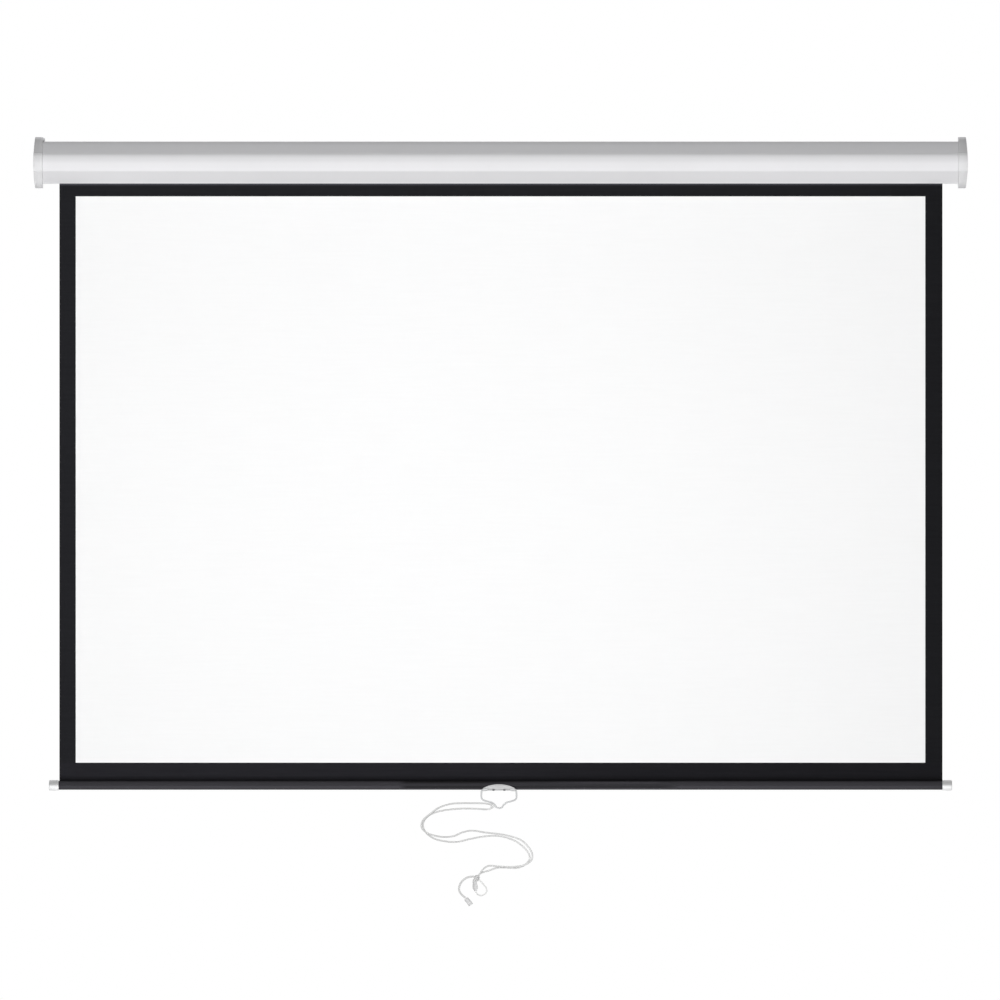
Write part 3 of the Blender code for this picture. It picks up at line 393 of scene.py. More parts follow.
def grained(name, colour, roughness, scale=600.0, bump=0.00002, tone=0.95, gloss=0.06,
            patch=9.0, scuffs=0.0, **more):
    # A painted or moulded surface: fine bumps, soft patches of tone and gloss, some scuffs.
    tree, surface = startMaterial(name, roughness, **more)
    made = placeGroup(tree, grain, {"Scale": scale, "Patch Scale": patch})
    tint = mottled(tree, made["Patch"], colour, tone)
    rough = spread(tree, made["Patch"], roughness - gloss, roughness + gloss)
    if scuffs:
        mark = placeGroup(tree, scuff, {"Density": scuffs})["Mark"]
        tint = blend(tree, mark, tint, shade(colour, 0.9))
        rough = maths(tree, 'ADD', rough, maths(tree, 'MULTIPLY', mark, 0.08))
    cover(tree, surface, tint, rough, made["Height"], bump)


def drawnMetal(name, colour, roughness):
    # Bare metal with lines drawn along X, dull where they are dark.
    tree, surface = startMaterial(name, roughness, metallic=1.0)
    made = placeGroup(tree, brushed, {})
    tint = mottled(tree, made["Tone"], colour, 0.82)
    rough = spread(tree, made["Tone"], roughness + 0.08, roughness - 0.06)
    cover(tree, surface, tint, rough, made["Height"], 0.00002)


def paintedShadeRamp(tree, stops, axis="Z"):
    # Painted shade and light: a grey that changes along one axis; stops are (millimetres along
    # it, tone), lowest first.
    start, end = stops[0][0], stops[-1][0]
    along = splitUp(tree, objectPlace(tree))[axis]
    ramp = tree.nodes.new('ShaderNodeValToRGB')
    while len(ramp.color_ramp.elements) < len(stops):
        ramp.color_ramp.elements.new(0.5)
    for stop, (place, tone) in zip(ramp.color_ramp.elements, stops):
        stop.position = (place - start) / (end - start)
        stop.color = (tone, tone, tone, 1)
    feed(tree, ramp.inputs[0], spread(tree, along, 0, 1, start / 1000, end / 1000))
    return ramp.outputs[0]


def woven(name, colour, roughness, thread, bump, tone, specular=0.1, ramps=()):
    # Cloth in a plain weave, with slubs a little darker; the ramps, given as (axis, stops),
    # multiply it with painted shade.
    tree, surface = startMaterial(name, roughness, specular=specular)
    made = placeGroup(tree, weave, {"Thread": thread})
    tint = mottled(tree, made["Slub"], colour, tone)
    for axis, stops in ramps:
        tint = blend(tree, 1.0, tint, paintedShadeRamp(tree, stops, axis), 'MULTIPLY')
    rough = spread(tree, made["Slub"], roughness + 0.05, roughness - 0.05)
    cover(tree, surface, tint, rough, made["Height"], bump)


def braided(name, colour, step, lobes):
    # Cord yarn: painted shade makes it darker in the grooves of its braid, and painted light
    # makes it a little lighter towards the right.
    tree, surface = startMaterial(name, 0.75, specular=0.15)
    made = placeGroup(tree, braid, {"Step": step, "Lobes": lobes})
    tint = blend(tree, spread(tree, made["Height"], 0, 1, 0.0, 0.9), shade(colour, 0.91),
                 colour)
    tint = blend(tree, spread(tree, made["Fibre"], 0, 0.25), tint, shade(colour, 0.92))
    tint = blend(tree, 1.0, tint, paintedShadeRamp(tree, yarnPaintedLight, "X"), 'MULTIPLY')
    cover(tree, surface, tint, spread(tree, made["Fibre"], 0.66, 0.84), made["Fibre"],
          0.00005)


frontEdge = (-0.45, -0.20)       # a face whose normal's Y is below these looks to the front


def paintedShadeFinish(name, stops, roughness, scale, bump=0.00002, specular=0.5, grey=0.55, axis="Z",
          hue=(0.990, 0.994, 1.0), zones=(), plain=None):
    # A painted or moulded surface with painted shade and light: its tone changes along an axis
    # as the light falls on its faces, with faint grey patches. Zones are (share, tones): where
    # share, along X, is over 0 it passes into those painted tones. With plain, the painted tones
    # stay on faces that look to the front, and every other face has that one tone.
    tree, surface = startMaterial(name, roughness, specular=specular)
    made = placeGroup(tree, grain, {"Scale": scale, "Patch Scale": 5.0})
    tint = paintedShadeRamp(tree, stops, axis)
    for share, tones in zones:
        tint = blend(tree, paintedShadeRamp(tree, share, "X"), tint, paintedShadeRamp(tree, tones, axis))
    if plain:
        facing = splitUp(tree, addNode(tree, 'ShaderNodeTexCoord', {}, "Normal"))["Y"]
        tint = blend(tree, spread(tree, facing, 0, 1, *frontEdge), tint, (plain,) * 3)
    tint = blend(tree, 1.0, hue, tint, 'MULTIPLY')
    tint = blend(tree, spread(tree, made["Patch"], 0, 0.10), tint, (grey,) * 3)
    rough = spread(tree, made["Patch"], roughness - 0.04, roughness + 0.04)
    cover(tree, surface, tint, rough, made["Height"], bump)


# Painted shade and light: tones are (millimetres along an axis, tone), lighter or darker by how
# the light falls, so that each facet looks as photographed.
caseShadeTones = [(-38, 0.63), (-35.5, 0.63), (-34, 0.575), (-17, 0.578), (-15.7, 0.63),
             (-15, 0.69), (-12, 0.733), (-2, 0.722), (0.3, 0.697), (3.8, 0.653),
             (7.3, 0.638), (9.1, 0.602), (10.9, 0.56), (12.6, 0.507), (14.4, 0.43),
             (15.4, 0.515), (16.2, 0.565), (20, 0.562), (25, 0.593), (30, 0.605),
             (33.8, 0.54), (38, 0.555)]
caseEndShadeTones = [(-38, 0.71), (-35.5, 0.71), (-34, 0.655), (-17, 0.655), (-15.5, 0.70),
                (-15, 0.735), (-12, 0.775), (-2, 0.768), (3.8, 0.688), (7.3, 0.65),
                (9.1, 0.625), (10.9, 0.585), (12.6, 0.53), (14.4, 0.435), (16.2, 0.555),
                (17.8, 0.585), (20, 0.585), (30, 0.61), (38, 0.55)]
caseEndShadeShare = [(-810, 0.75), (-700, 0.6), (-400, 0.0), (250, 0.0), (620, 0.7), (810, 1.0)]
capShadeTones = [(-46, 0.50), (-44, 0.50), (-37, 0.62), (-34, 0.66), (-15.6, 0.66), (-15, 0.71),
            (-12, 0.75), (-2, 0.732), (4.5, 0.636), (9.1, 0.58), (10.9, 0.556), (12.6, 0.49),
            (14.4, 0.42), (17, 0.45), (17.4, 0.55), (21.5, 0.53), (30, 0.515), (36, 0.485),
            (38.5, 0.455), (41, 0.50), (42.5, 0.65), (46, 0.67)]
barShadeTones = [(-1109.6, 0.030), (-1106, 0.038), (-1103.3, 0.046), (-1101.5, 0.046),
            (-1100, 0.030), (-1093.5, 0.027), (-1092.5, 0.018), (-1091.2, 0.010)]
barPlaces = (-1109.6, -1106.8, -1105.1, -1104.1, -1103.3, -1101.5, -1099.8, -1098, -1096.2,
             -1094.5, -1092.7, -1091.2)
barMiddleShadeTones = list(zip(barPlaces, (0.025, 0.034, 0.041, 0.022, 0.010, 0.0135, 0.024,
                                      0.0255, 0.0185, 0.007, 0.002, 0.002)))
barMiddleShadeShare = [(-182, 0.0), (-166, 1.0), (275, 1.0), (316, 0.0)]
barRightShadeTones = list(zip(barPlaces, (0.045, 0.055, 0.062, 0.030, 0.015, 0.017, 0.0215, 0.024,
                                     0.031, 0.041, 0.017, 0.003)))
barRightShadeShare = [(-30, 0.0), (27, 0.4), (79, 0.5), (150, 1.0), (275, 1.0), (316, 0.0)]
plugShadeTones = [(-1109.6, 0.97), (-1102, 0.91), (-1097.5, 0.385), (-1094.5, 0.365),
             (-1092.5, 0.46), (-1090, 0.58)]
saddleShadeTones = [(-1111, 0.58), (-1108.5, 0.56), (-1107.5, 0.475), (-1106.2, 0.475),
               (-1105.5, 0.575), (-1103.3, 0.54), (-1101.5, 0.49), (-1099.5, 0.44),
               (-1097, 0.44)]
toggleShadeTones = [(-48.5, 0.52), (-45.5, 0.57), (-43, 0.67), (-40, 0.74)]
yarnPaintedLight = [(-60, 0.88), (-20, 0.91), (45, 1.0)]
maskShadeAcross = [(-780, 1.0), (600, 0.82), (780, 0.62)]
maskShadeTones = [(-42.5, 0.171), (-41.2, 0.195), (-40.3, 0.33), (-39.5, 0.56), (-38.6, 0.88),
             (-37.2, 1.0)]
hemShadeAcross = [(-780, 1.0), (0, 0.86), (200, 0.66), (780, 0.52)]
hemShadeTones = [(-1091.8, 0.18), (-1090, 0.30), (-1088.3, 0.46), (-1086.5, 0.60), (-1084.8, 0.72),
            (-1083.2, 0.90), (-1081.5, 1.0)]

# painted shade and light on the case's front faces: each facet lighter or darker by how the
# light falls, with other tones towards the ends
paintedShadeFinish("casePaint", caseShadeTones, 0.42, 750, hue=(0.990, 0.985, 1.005),
      zones=[(caseEndShadeShare, caseEndShadeTones)], plain=0.70)
# painted shade and light on the end caps' front faces, facet by facet
paintedShadeFinish("capPlastic", capShadeTones, 0.45, 900, 0.00003, hue=(0.993, 0.990, 1.003), plain=0.70)
grained("zincPlate", (0.56, 0.57, 0.58), 0.34, scale=420, bump=0.00003, tone=0.78, gloss=0.10,
        patch=60, scuffs=0.36, metallic=1.0)
drawnMetal("drawnSteel", (0.56, 0.57, 0.58), 0.34)
drawnMetal("springSteel", (0.30, 0.31, 0.33), 0.42)
grained("stampedBrass", (0.72, 0.55, 0.26), 0.36, scale=500, tone=0.8, gloss=0.1, patch=120,
        scuffs=0.34, metallic=1.0)
grained("nylon", (0.80, 0.78, 0.70), 0.5, scale=700, tone=0.93)
grained("acetal", (0.05, 0.05, 0.055), 0.45, scale=700, tone=0.8)
woven("screenWhite", (0.846, 0.846, 0.846), 0.9, 0.0005, 0.000015, 0.985)
# painted shade on the black border: darker towards the right, with painted light in a band just
# under the case's lower edge
woven("maskBlack", (0.0780, 0.0785, 0.0910), 0.85, 0.0005, 0.00004, 0.90,
      ramps=[("X", maskShadeAcross), ("Z", maskShadeTones)])
# painted shade on the hem: darker towards the right, and a painted shadow darkening it down to
# the bar
woven("hemBlack", (0.0160, 0.0158, 0.0190), 0.85, 0.0005, 0.00004, 0.90,
      ramps=[("X", hemShadeAcross), ("Z", hemShadeTones)])
woven("backingBlack", (0.022, 0.022, 0.024), 0.7, 0.0008, 0.00008, 0.8, specular=0.3)
# painted highlight and shade on the bar: a light band low along it, darker in the middle round
# the handle, and a brighter lower edge to the right of it
paintedShadeFinish("barPaint", barShadeTones, 0.50, 800, specular=0.12, grey=0.03, hue=(1.0, 0.97, 1.12),
      zones=[(barMiddleShadeShare, barMiddleShadeTones), (barRightShadeShare, barRightShadeTones)])
# painted shade on the plugs' front faces: the upper half darker, the lower half lighter
paintedShadeFinish("plugWhite", plugShadeTones, 0.36, 500, 0.00001, grey=0.6, plain=0.80)
grained("rodNylon", (0.75, 0.75, 0.73), 0.5, scale=700)
grained("palePlastic", (0.57, 0.575, 0.58), 0.36, scale=500, tone=0.93, patch=40)
grained("tasselPlastic", (0.64, 0.64, 0.64), 0.4, scale=500, patch=40)
# painted shade on the saddle: a darker band near its lower edge, and darker towards its top
paintedShadeFinish("saddlePlastic", saddleShadeTones, 0.36, 500)
# painted shade on the toggle: darker on its left side
paintedShadeFinish("togglePlastic", toggleShadeTones, 0.36, 500, axis="X", grey=0.6, hue=(1.0, 1.0, 1.0))
grained("darkOxide", (0.22, 0.22, 0.225), 0.5, scale=700, tone=0.8, gloss=0.1, patch=150,
        scuffs=0.4, specular=0.3)
braided("pullYarn", (0.705, 0.705, 0.700), step=0.0017, lobes=6.0)
# painted light: the hitch has the pull cord's yarn made lighter, against the shade between its
# turns
braided("hitchYarn", (0.82, 0.82, 0.815), step=0.0017, lobes=6.0)
braided("loopYarn", (0.84, 0.84, 0.83), step=0.0014, lobes=5.0)
print("materials ready:", len(finishes))


# Mesh helpers

def gridQuads(rows, columns, wrap):
    # Each face joins a grid point with its neighbours in the next row and the next column.
    r = np.arange(rows - 1)[:, None]
    c = np.arange(columns if wrap else columns - 1)[None, :]
    nextC = (c + 1) % columns
    corners = (r * columns + c, r * columns + nextC, (r + 1) * columns + nextC,
               (r + 1) * columns + c)
    return np.stack(np.broadcast_arrays(*corners), -1).reshape(-1, 4)


def gridUv(u, v):
    # The same faces' corners on the UV map: u belongs to the columns, with one more entry
    # where they wrap, and v to the rows.
    spot = np.stack(np.meshgrid(u, v), -1)
    corners = (spot[:-1, :-1], spot[:-1, 1:], spot[1:, 1:], spot[1:, :-1])
    return np.stack(corners, -2).reshape(-1, 2)


def meshFrom(name, points, faces, uv=None, merge=1e-7, poles=False):
    # One mesh from points and faces: doubles merged, then every face turned outwards. With
    # poles, faces that have shrunk to a line or a point are taken out.
    mesh = bpy.data.meshes.new(name)
    mesh.from_pydata(points.reshape(-1, 3).tolist(), [], faces)
    if uv is not None:
        layer = mesh.uv_layers.new(name="UVMap")
        layer.uv.foreach_set("vector", uv.astype(np.float32).ravel())
    shape = bmesh.new()
    shape.from_mesh(mesh)
    bmesh.ops.remove_doubles(shape, verts=shape.verts, dist=merge)
    bmesh.ops.recalc_face_normals(shape, faces=shape.faces)
    if poles:
        bmesh.ops.dissolve_degenerate(shape, dist=merge, edges=shape.edges)
    shape.to_mesh(mesh)
    shape.free()
    mesh.shade_smooth()
    return mesh


def unit(vectors):
    return vectors / np.maximum(np.linalg.norm(vectors, axis=-1, keepdims=True), 1e-12)


def runningLength(line):
    # Metres along the line at each of its points.
    return np.concatenate([[0], np.cumsum(np.linalg.norm(np.diff(line, axis=0), axis=1))])


def squareTo(axis):
    # The axis as a unit vector, and two directions square to it and to each other.
    axis = unit(np.asarray(axis, float))
    side = unit(np.cross(axis, (0.0, 1.0, 0.0) if abs(axis[1]) < 0.9 else (1.0, 0.0, 0.0)))
    return axis, side, np.cross(axis, side)


def turnsRound(sides):
    return np.linspace(0, math.tau, sides, endpoint=False)


def roundAbout(centres, radius, turn, side, other):
    # Rings of points: centre plus radius times (cos(turn) side + sin(turn) other).
    turn = turn[..., None]
    return centres + radius[..., None] * (np.cos(turn) * side + np.sin(turn) * other)


def ringMesh(name, points, along=None, ends=(), **more):
    # A mesh of rings (ring, side, place). The UV map holds turns and the metres in along.
    rings, sides = points.shape[:2]
    uv = None
    if along is not None:
        uv = np.vstack([gridUv(np.linspace(0, 1, sides + 1), along),
                        np.zeros((len(ends) * sides, 2))])
    return meshFrom(name, points, gridQuads(rings, sides, True).tolist() + list(ends), uv,
                    **more)


def evenly(line, spacing):
    # The line again with its points an even distance apart.
    along = runningLength(line)
    at = np.linspace(0, along[-1], max(3, round(along[-1] / spacing) + 1))
    return np.stack([np.interp(at, along, line[:, k]) for k in range(3)], 1)


def smoothLine(knots, spacing):
    # A smooth curve through the knots: on each stretch a cubic that leaves and arrives along
    # the lines between the knots before and after. The first and last stretch stay straight.
    before, start, end, after = knots[:-3], knots[1:-2], knots[2:-1], knots[3:]
    span = np.linalg.norm(end - start, axis=1)[:, None]
    leave = (end - before) * span / (np.linalg.norm(start - before, axis=1)[:, None] + span)
    arrive = (after - start) * span / (np.linalg.norm(after - end, axis=1)[:, None] + span)
    t = np.linspace(0, 1, 24, endpoint=False)[:, None, None]
    curve = ((2 * t**3 - 3 * t**2 + 1) * start + (t**3 - 2 * t**2 + t) * leave
             + (3 * t**2 - 2 * t**3) * end + (t**3 - t**2) * arrive)
    curve = curve.transpose(1, 0, 2).reshape(-1, 3)
    return evenly(np.vstack([knots[:1], curve, knots[-2:]]), spacing)


def tubeMesh(name, line, radius, sides, normals=None):
    # Round tube: each ring lies square to the line, and radius is a grid (ring, side) or one
    # column of it. Both ends are closed.
    tangent = unit(np.gradient(line, axis=0))
    if normals is None:
        normals = np.cross(tangent, (0.0, 1.0, 0.0))
    normals = unit(normals - tangent * (normals * tangent).sum(1, keepdims=True))
    binormals = np.cross(tangent, normals)
    points = roundAbout(line[:, None], np.broadcast_to(radius, (len(line), sides)),
                        turnsRound(sides), normals[:, None], binormals[:, None])
    ends = [range(sides), range((len(line) - 1) * sides, len(line) * sides)]
    return ringMesh(name, points, runningLength(line), ends)


def turnedMesh(name, profile, sides, origin, axis, closed=False, ripple=None):
    # A profile of (radius, distance along the axis) turned round the axis. A closed profile
    # is a ring's whole section; an open one starts and ends on the axis. A ripple changes
    # the radius, as a function of the distance and the turn.
    axis, side, other = squareTo(axis)
    if closed:
        profile = np.vstack([profile, profile[:1]])
    turn = turnsRound(sides)
    radius = profile[:, :1] * (np.ones((1, sides)) if ripple is None
                               else ripple(profile[:, 1:], turn))
    points = roundAbout(np.asarray(origin, float) + profile[:, 1, None, None] * axis, radius,
                        turn, side, other)
    return ringMesh(name, points, runningLength(profile), poles=True)


def rounded(corners, radius, steps=4):
    # An open profile whose inner corners are replaced by short arcs of a set cut-back.
    corners = np.asarray(corners, float)
    out = [corners[:1]]
    for before, here, after in zip(corners[:-2], corners[1:-1], corners[2:]):
        back, on = before - here, after - here
        cut = min(radius, 0.45 * np.linalg.norm(back), 0.45 * np.linalg.norm(on))
        a, b = here + unit(back) * cut, here + unit(on) * cut
        t = np.linspace(0, 1, steps + 1)[:, None]
        out.append((1 - t)**2 * a + 2 * t * (1 - t) * here + t**2 * b)
    return np.vstack(out + [corners[-1:]])


def makeSmoother():
    # Merges loose faces and leaves an edge sharp only where its faces meet at over 34 degrees.
    tree = bpy.data.node_groups.new("softEdges", 'GeometryNodeTree')
    for way in ('INPUT', 'OUTPUT'):
        tree.interface.new_socket("Geometry", in_out=way, socket_type='NodeSocketGeometry')
    merged = addNode(tree, 'GeometryNodeMergeByDistance',
                     {0: addNode(tree, 'NodeGroupInput', {}), "Distance": 0.000005})
    faces = addNode(tree, 'GeometryNodeSetShadeSmooth', {0: merged})
    angle = addNode(tree, 'GeometryNodeInputMeshEdgeAngle', {})
    test = addNode(tree, 'FunctionNodeCompare', {0: angle, 1: math.radians(34)},
                   data_type='FLOAT', operation='LESS_THAN')
    edges = addNode(tree, 'GeometryNodeSetShadeSmooth', {0: faces, "Shade Smooth": test},
                    domain='EDGE')
    addNode(tree, 'NodeGroupOutput', {0: edges}, None)
    return tree


smoother = makeSmoother()


def soften(item):
    item.modifiers.new("softEdges", 'NODES').node_group = smoother


def newPiece(mesh, finish, body, replaces, bevel=0.0):
    # A piece has its mesh's name.
    for each in finish if isinstance(finish, list) else [finish]:
        mesh.materials.append(finishes[each])
    piece = addObject(mesh.name, mesh)
    if bevel:
        step = piece.modifiers.new("edge", 'BEVEL')
        step.width = bevel
        step.segments = 2
        step.limit_method = 'ANGLE'
        step.angle_limit = math.radians(40)
    soften(piece)
    if body:
        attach(piece, body)
    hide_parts(*replaces)
    return piece


def joined(name, meshes):
    shape = bmesh.new()
    for mesh in meshes:
        shape.from_mesh(mesh)
    mesh = bpy.data.meshes.new(name)
    shape.to_mesh(mesh)
    shape.free()
    for used in meshes:
        bpy.data.meshes.remove(used)
    return mesh


# Pull cord

cordSpec = {
    "radius": 0.0015,
    "loopRadius": 0.00125,
    "tailRadius": 0.0017,
    "strandSide": 0.0018,        # each strand's distance from the bail's plane
    "braidStep": 0.0017,
    "braidLobes": 6,
    "loopStep": 0.0014,
    "loopLobes": 5,
    "braidDepth": 0.055,         # depth of the grooves, as a share of the radius
    "ring": 0.00034,             # spacing of the rings along a strand
    "bailFrom": 0.011,           # above this depth below the hitch a strand swings with the bail
    "barFrom": 0.118,            # below this one it moves with the bar alone
    "sides": 36,
}
# Routes along the photographed cord, in millimetres from the middle of the hitch.
frontRoute = [
    (-7.2, -0.9), (-9.6, -0.4), (-14.8, 0.8), (-39.2, 1.2), (-60.7, 1.2), (-78.7, -0.6),
    (-96.7, -6.9), (-113, -18.6), (-124.4, -28.8), (-127.5, -39.3), (-122.4, -47.8),
    (-109.5, -54.6), (-87.7, -58.5), (-68.8, -56.4), (-57.3, -51), (-39.2, -47.2),
    (-15.7, -50.4), (13.1, -53.7), (32.9, -58.1), (49.1, -64.4), (60.8, -75.3), (68.1, -88),
    (66.8, -99.3), (54.6, -107.8), (32.9, -111.1), (7.8, -110.4), (-7.8, -109.2),
    (-16.4, -113.4), (-23.4, -122), (-26.5, -126.8), (-27.5, -128.4),
]
backRoute = [
    (-7.2, -9.2), (-9.6, -9.5), (-15.8, -9.7), (-31.9, -8.6), (-57.2, -8.4), (-87.7, -11.4),
    (-107.5, -16.8), (-119.8, -25.4), (-124.6, -37.5), (-120.4, -49.3), (-105.7, -61),
    (-86, -66.1), (-64.4, -67), (-40.9, -61.9), (-21.2, -58.1), (5.8, -56.4), (32.9, -63.2),
    (50.9, -74.4), (61.7, -87.2), (63.6, -97), (56.5, -106.7), (41.9, -113.1), (22.2, -112.4),
    (5.8, -113), (-8.5, -118), (-18.4, -120.6), (-23.7, -122.9), (-26.5, -126.8),
    (-27.5, -128.4),
]
tailRoute = [
    (-31.6, -129.2), (-35.6, -128.4), (-38, -128.3), (-42.2, -128.9), (-49.1, -131.4),
    (-56.1, -137.1), (-60.4, -145.3), (-60.5, -153.6), (-57, -159.6), (-52.8, -163.4),
    (-50, -165.8),
]
loopRoute = [
    (-28.6, -131.5), (-25.9, -133.8), (-23.9, -135.5), (-19.3, -140.6), (-13.7, -147.2),
    (-12.2, -153.2), (-15, -158.8), (-20.8, -161.6), (-26.2, -160.9), (-29.7, -158.4),
    (-30.9, -155.6), (-31, -154.6),
]


def fromHitch(route, depth=0.0):
    flat = np.asarray(route, float) / 1000
    depth = np.broadcast_to(depth, len(flat))
    return hitch + np.stack([flat[:, 0], depth, flat[:, 1]], 1)


def braidedTube(name, line, radius, sides=cordSpec["sides"], normals=None,
                step=cordSpec["braidStep"], lobes=cordSpec["braidLobes"]):
    # Braided cord: its radius rises and falls with the higher of two cosines that wind round
    # it in opposite directions, a whole number of lobes round and one step of length each.
    turn = turnsRound(sides) * lobes
    travel = runningLength(line)[:, None] * math.tau / step
    ridge = np.maximum(np.cos(turn + travel), np.cos(turn - travel))
    size = radius * (1 - cordSpec["braidDepth"] * (1 - ridge) / 2)
    return tubeMesh(name, line, size, sides, normals)


def lengthOf(line):
    return float(runningLength(line)[-1])


def makeStrand(name, route, side, node):
    # A strand leaves the hitch in the bail's plane and moves over to its own side of it.
    share = np.ones(len(route))
    share[:2] = (0, 0.2)
    line = smoothLine(fromHitch(route, side * cordSpec["strandSide"] * share),
                      cordSpec["ring"])
    strand = newPiece(braidedTube(name, line, cordSpec["radius"]), "pullYarn",
                      None, [node])
    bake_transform(strand)
    return strand, line


def makeShort(name, route, radius, finish, node, **braid):
    line = smoothLine(fromHitch(route), cordSpec["ring"])
    mesh = braidedTube(name, line, radius, **braid)
    return newPiece(mesh, finish, "bar", [node]), line


frontStrand, frontLine = makeStrand("frontStrand", frontRoute, -1, "cord_front")
backStrand, backLine = makeStrand("backStrand", backRoute, 1, "cord_back")
tailCord, tailLine = makeShort("tailCord", tailRoute, cordSpec["tailRadius"], "pullYarn",
                               "cord_tail")
loopCord, loopLine = makeShort("loopCord", loopRoute, cordSpec["loopRadius"], "loopYarn",
                               "cord_loop", step=cordSpec["loopStep"],
                               lobes=cordSpec["loopLobes"])


# Knots, toggle and tassel on the cord

knotSpec = {
    "turns": 2.2,
    "outer": 0.0054,
    "core": 0.0034,
    "neck": 0.0006,
    "inset": 0.0014,             # the wraps stop this far from the knot's ends
    "lead": 0.1,                 # share of a turn at which they start
    "rings": 220,
    "sides": 30,
    "ends": [(-26.4, -127.6), (-32.8, -134.3)],
}
# Ends are in millimetres from the hitch. Profiles are (millimetres of radius, share of the
# length), from the end where the cord goes in.
toggleEnds = [(-34.0, -133.0), (-31.6, -154.6)]
toggleProfile = [(0, 0), (2.0, 0), (2.7, 0.015), (3.1, 0.05), (3.25, 0.10), (3.1, 0.14),
                 (3.4, 0.19), (3.6, 0.28), (3.8, 0.36), (4.2, 0.45), (4.6, 0.54), (4.8, 0.61),
                 (4.8, 0.66), (4.5, 0.73), (3.8, 0.81), (2.95, 0.88), (2.2, 0.94),
                 (1.8, 0.985), (1.5, 1.0), (1.0, 1.0), (0.9, 0.97), (0, 0.96)]
tasselEnds = [(-49.2, -166.5), (-39.6, -178.5)]
tasselProfile = [(0, 0), (1.9, 0), (2.6, 0.02), (3.4, 0.055), (3.95, 0.11), (4.2, 0.18),
                 (4.25, 0.27), (4.05, 0.31), (4.2, 0.35), (4.3, 0.45), (4.35, 0.6),
                 (4.4, 0.8), (4.5, 0.92), (4.45, 0.98), (4.2, 1.0), (3.8, 1.0), (3.5, 0.97),
                 (3.0, 0.7), (2.2, 0.55), (0, 0.5)]


def between(ends):
    # Where the first end lies, the direction to the second, and how far that is.
    first, last = fromHitch(ends)
    return first, unit(last - first), float(np.linalg.norm(last - first))


def coilLine(start, end, radius, turns, lead):
    # A helix round the line from start to end; its radius shrinks at both ends, so that the
    # wrapped cord tucks into the core. Also gives each point's direction out of the axis.
    axis, side, other = squareTo(end - start)
    t = np.linspace(0, 1, knotSpec["rings"])[:, None]
    turn = math.tau * (turns * t + lead)
    out = np.cos(turn) * side + np.sin(turn) * other
    tuck = 1 - 0.55 * np.exp(-((t / 0.05)**2)) - 0.55 * np.exp(-(((1 - t) / 0.05)**2))
    return start + (end - start) * t + out * radius * tuck, out


def makeKnot():
    spec, thick = knotSpec, cordSpec["radius"]
    first, axis, length = between(spec["ends"])
    coil, out = coilLine(first + axis * spec["inset"], first + axis * (length - spec["inset"]),
                         spec["outer"] - thick, spec["turns"], spec["lead"])
    wraps = braidedTube("wraps", coil, thick, spec["sides"], out)
    low, high, wide = -spec["neck"], length + spec["neck"], spec["core"]
    core = turnedMesh("core", rounded([(0, low), (wide, low), (wide, high), (0, high)],
                                      2 * spec["neck"]), 24, first, axis)
    return newPiece(joined("endKnot", [wraps, core]), "pullYarn", "bar",
                    ["end_knot"])


def makeBead(name, node, finish, ends, profile, sides, flutes, depth, where):
    # A turned bead; its radius is cut back by depth in the flutes, as far as where says.
    first, axis, length = between(ends)
    shape = rounded(np.array(profile) * (0.001, length), 0.0004, 3)
    mesh = turnedMesh(name, shape, sides, first, axis, ripple=lambda height, turn:
                      1 - depth * where(height) * (0.5 + 0.5 * np.cos(flutes * turn)))
    return newPiece(mesh, finish, "bar", [node])


endKnot = makeKnot()
# a tear-drop bead with a thick neck, six shallow flutes and a hole rim at its tip
cordToggle = makeBead("cordToggle", "cord_toggle", "togglePlastic", toggleEnds, toggleProfile,
                      sides=48, flutes=6, depth=0.04,
                      where=lambda height: np.exp(-((height - 0.0115) / 0.0045)**2))
# a hollow cap with a domed shoulder, a groove, fine flutes and a rounded rim
cordTassel = makeBead("cordTassel", "cord_tassel", "tasselPlastic", tasselEnds, tasselProfile,
                      sides=64, flutes=16, depth=0.02,
                      where=lambda height: np.clip((height - 0.005) / 0.006, 0, 1))


# Wire bail and the hitch on it

bailSpec = {
    "wireRadius": 0.0015,
    "sides": 24,
    "wireEnd": 0.0072,           # how far the wire reaches into its lug
    # left half, millimetres out past the saddle's end and up from the pivots
    "wire": [(0.4, -0.2), (2.1, -1.9), (2.8, -6), (2.9, -12), (1.8, -16.6), (-1.6, -18.8),
             (-7.6, -20.7), (-15.9, -22.9), (-18.7, -25.1), (-21.5, -27.5), (-23.5, -30.9)],
    "point": (1.2, -32.5),
    "lean": 1.1,                 # how far the lower right branch stands out from a mirror image
    "leanFrom": 18.5,            # depth at which that starts, and over what depth it grows
    "leanOver": 5.0,
    "spacing": 0.0006,
}


def bailLine():
    spec = bailSpec
    wire, saddleEnd = np.array(spec["wire"]) / 1000, -layout["saddleHalf"]
    left = np.stack([saddleEnd - wire[:, 0], 0 * wire[:, 0], wire[:, 1]], 1)
    left = np.vstack([[spec["wireEnd"] + saddleEnd, 0, 0], left])
    right = left[::-1] * (-1, 1, 1)
    depth = (-right[:, 2] * 1000 - spec["leanFrom"]) / spec["leanOver"]
    right[:, 0] += spec["lean"] / 1000 * np.clip(depth, 0, 1)
    point = np.array((spec["point"][0], 0, spec["point"][1])) / 1000
    line = smoothLine(np.vstack([left, point, right]), spec["spacing"])
    return line + (layout["handleX"], layout["bailY"], layout["bailZ"])


def makeBail():
    # The wire narrows a little at its two ends.
    line = bailLine()
    ends = np.minimum(np.arange(len(line)), np.arange(len(line))[::-1])
    radius = bailSpec["wireRadius"] * (1 - 0.25 * np.exp(-ends / 1.2))
    return newPiece(tubeMesh("wireBail", line, radius[:, None], bailSpec["sides"]),
                    "palePlastic", "bail", ["pull_bail"])


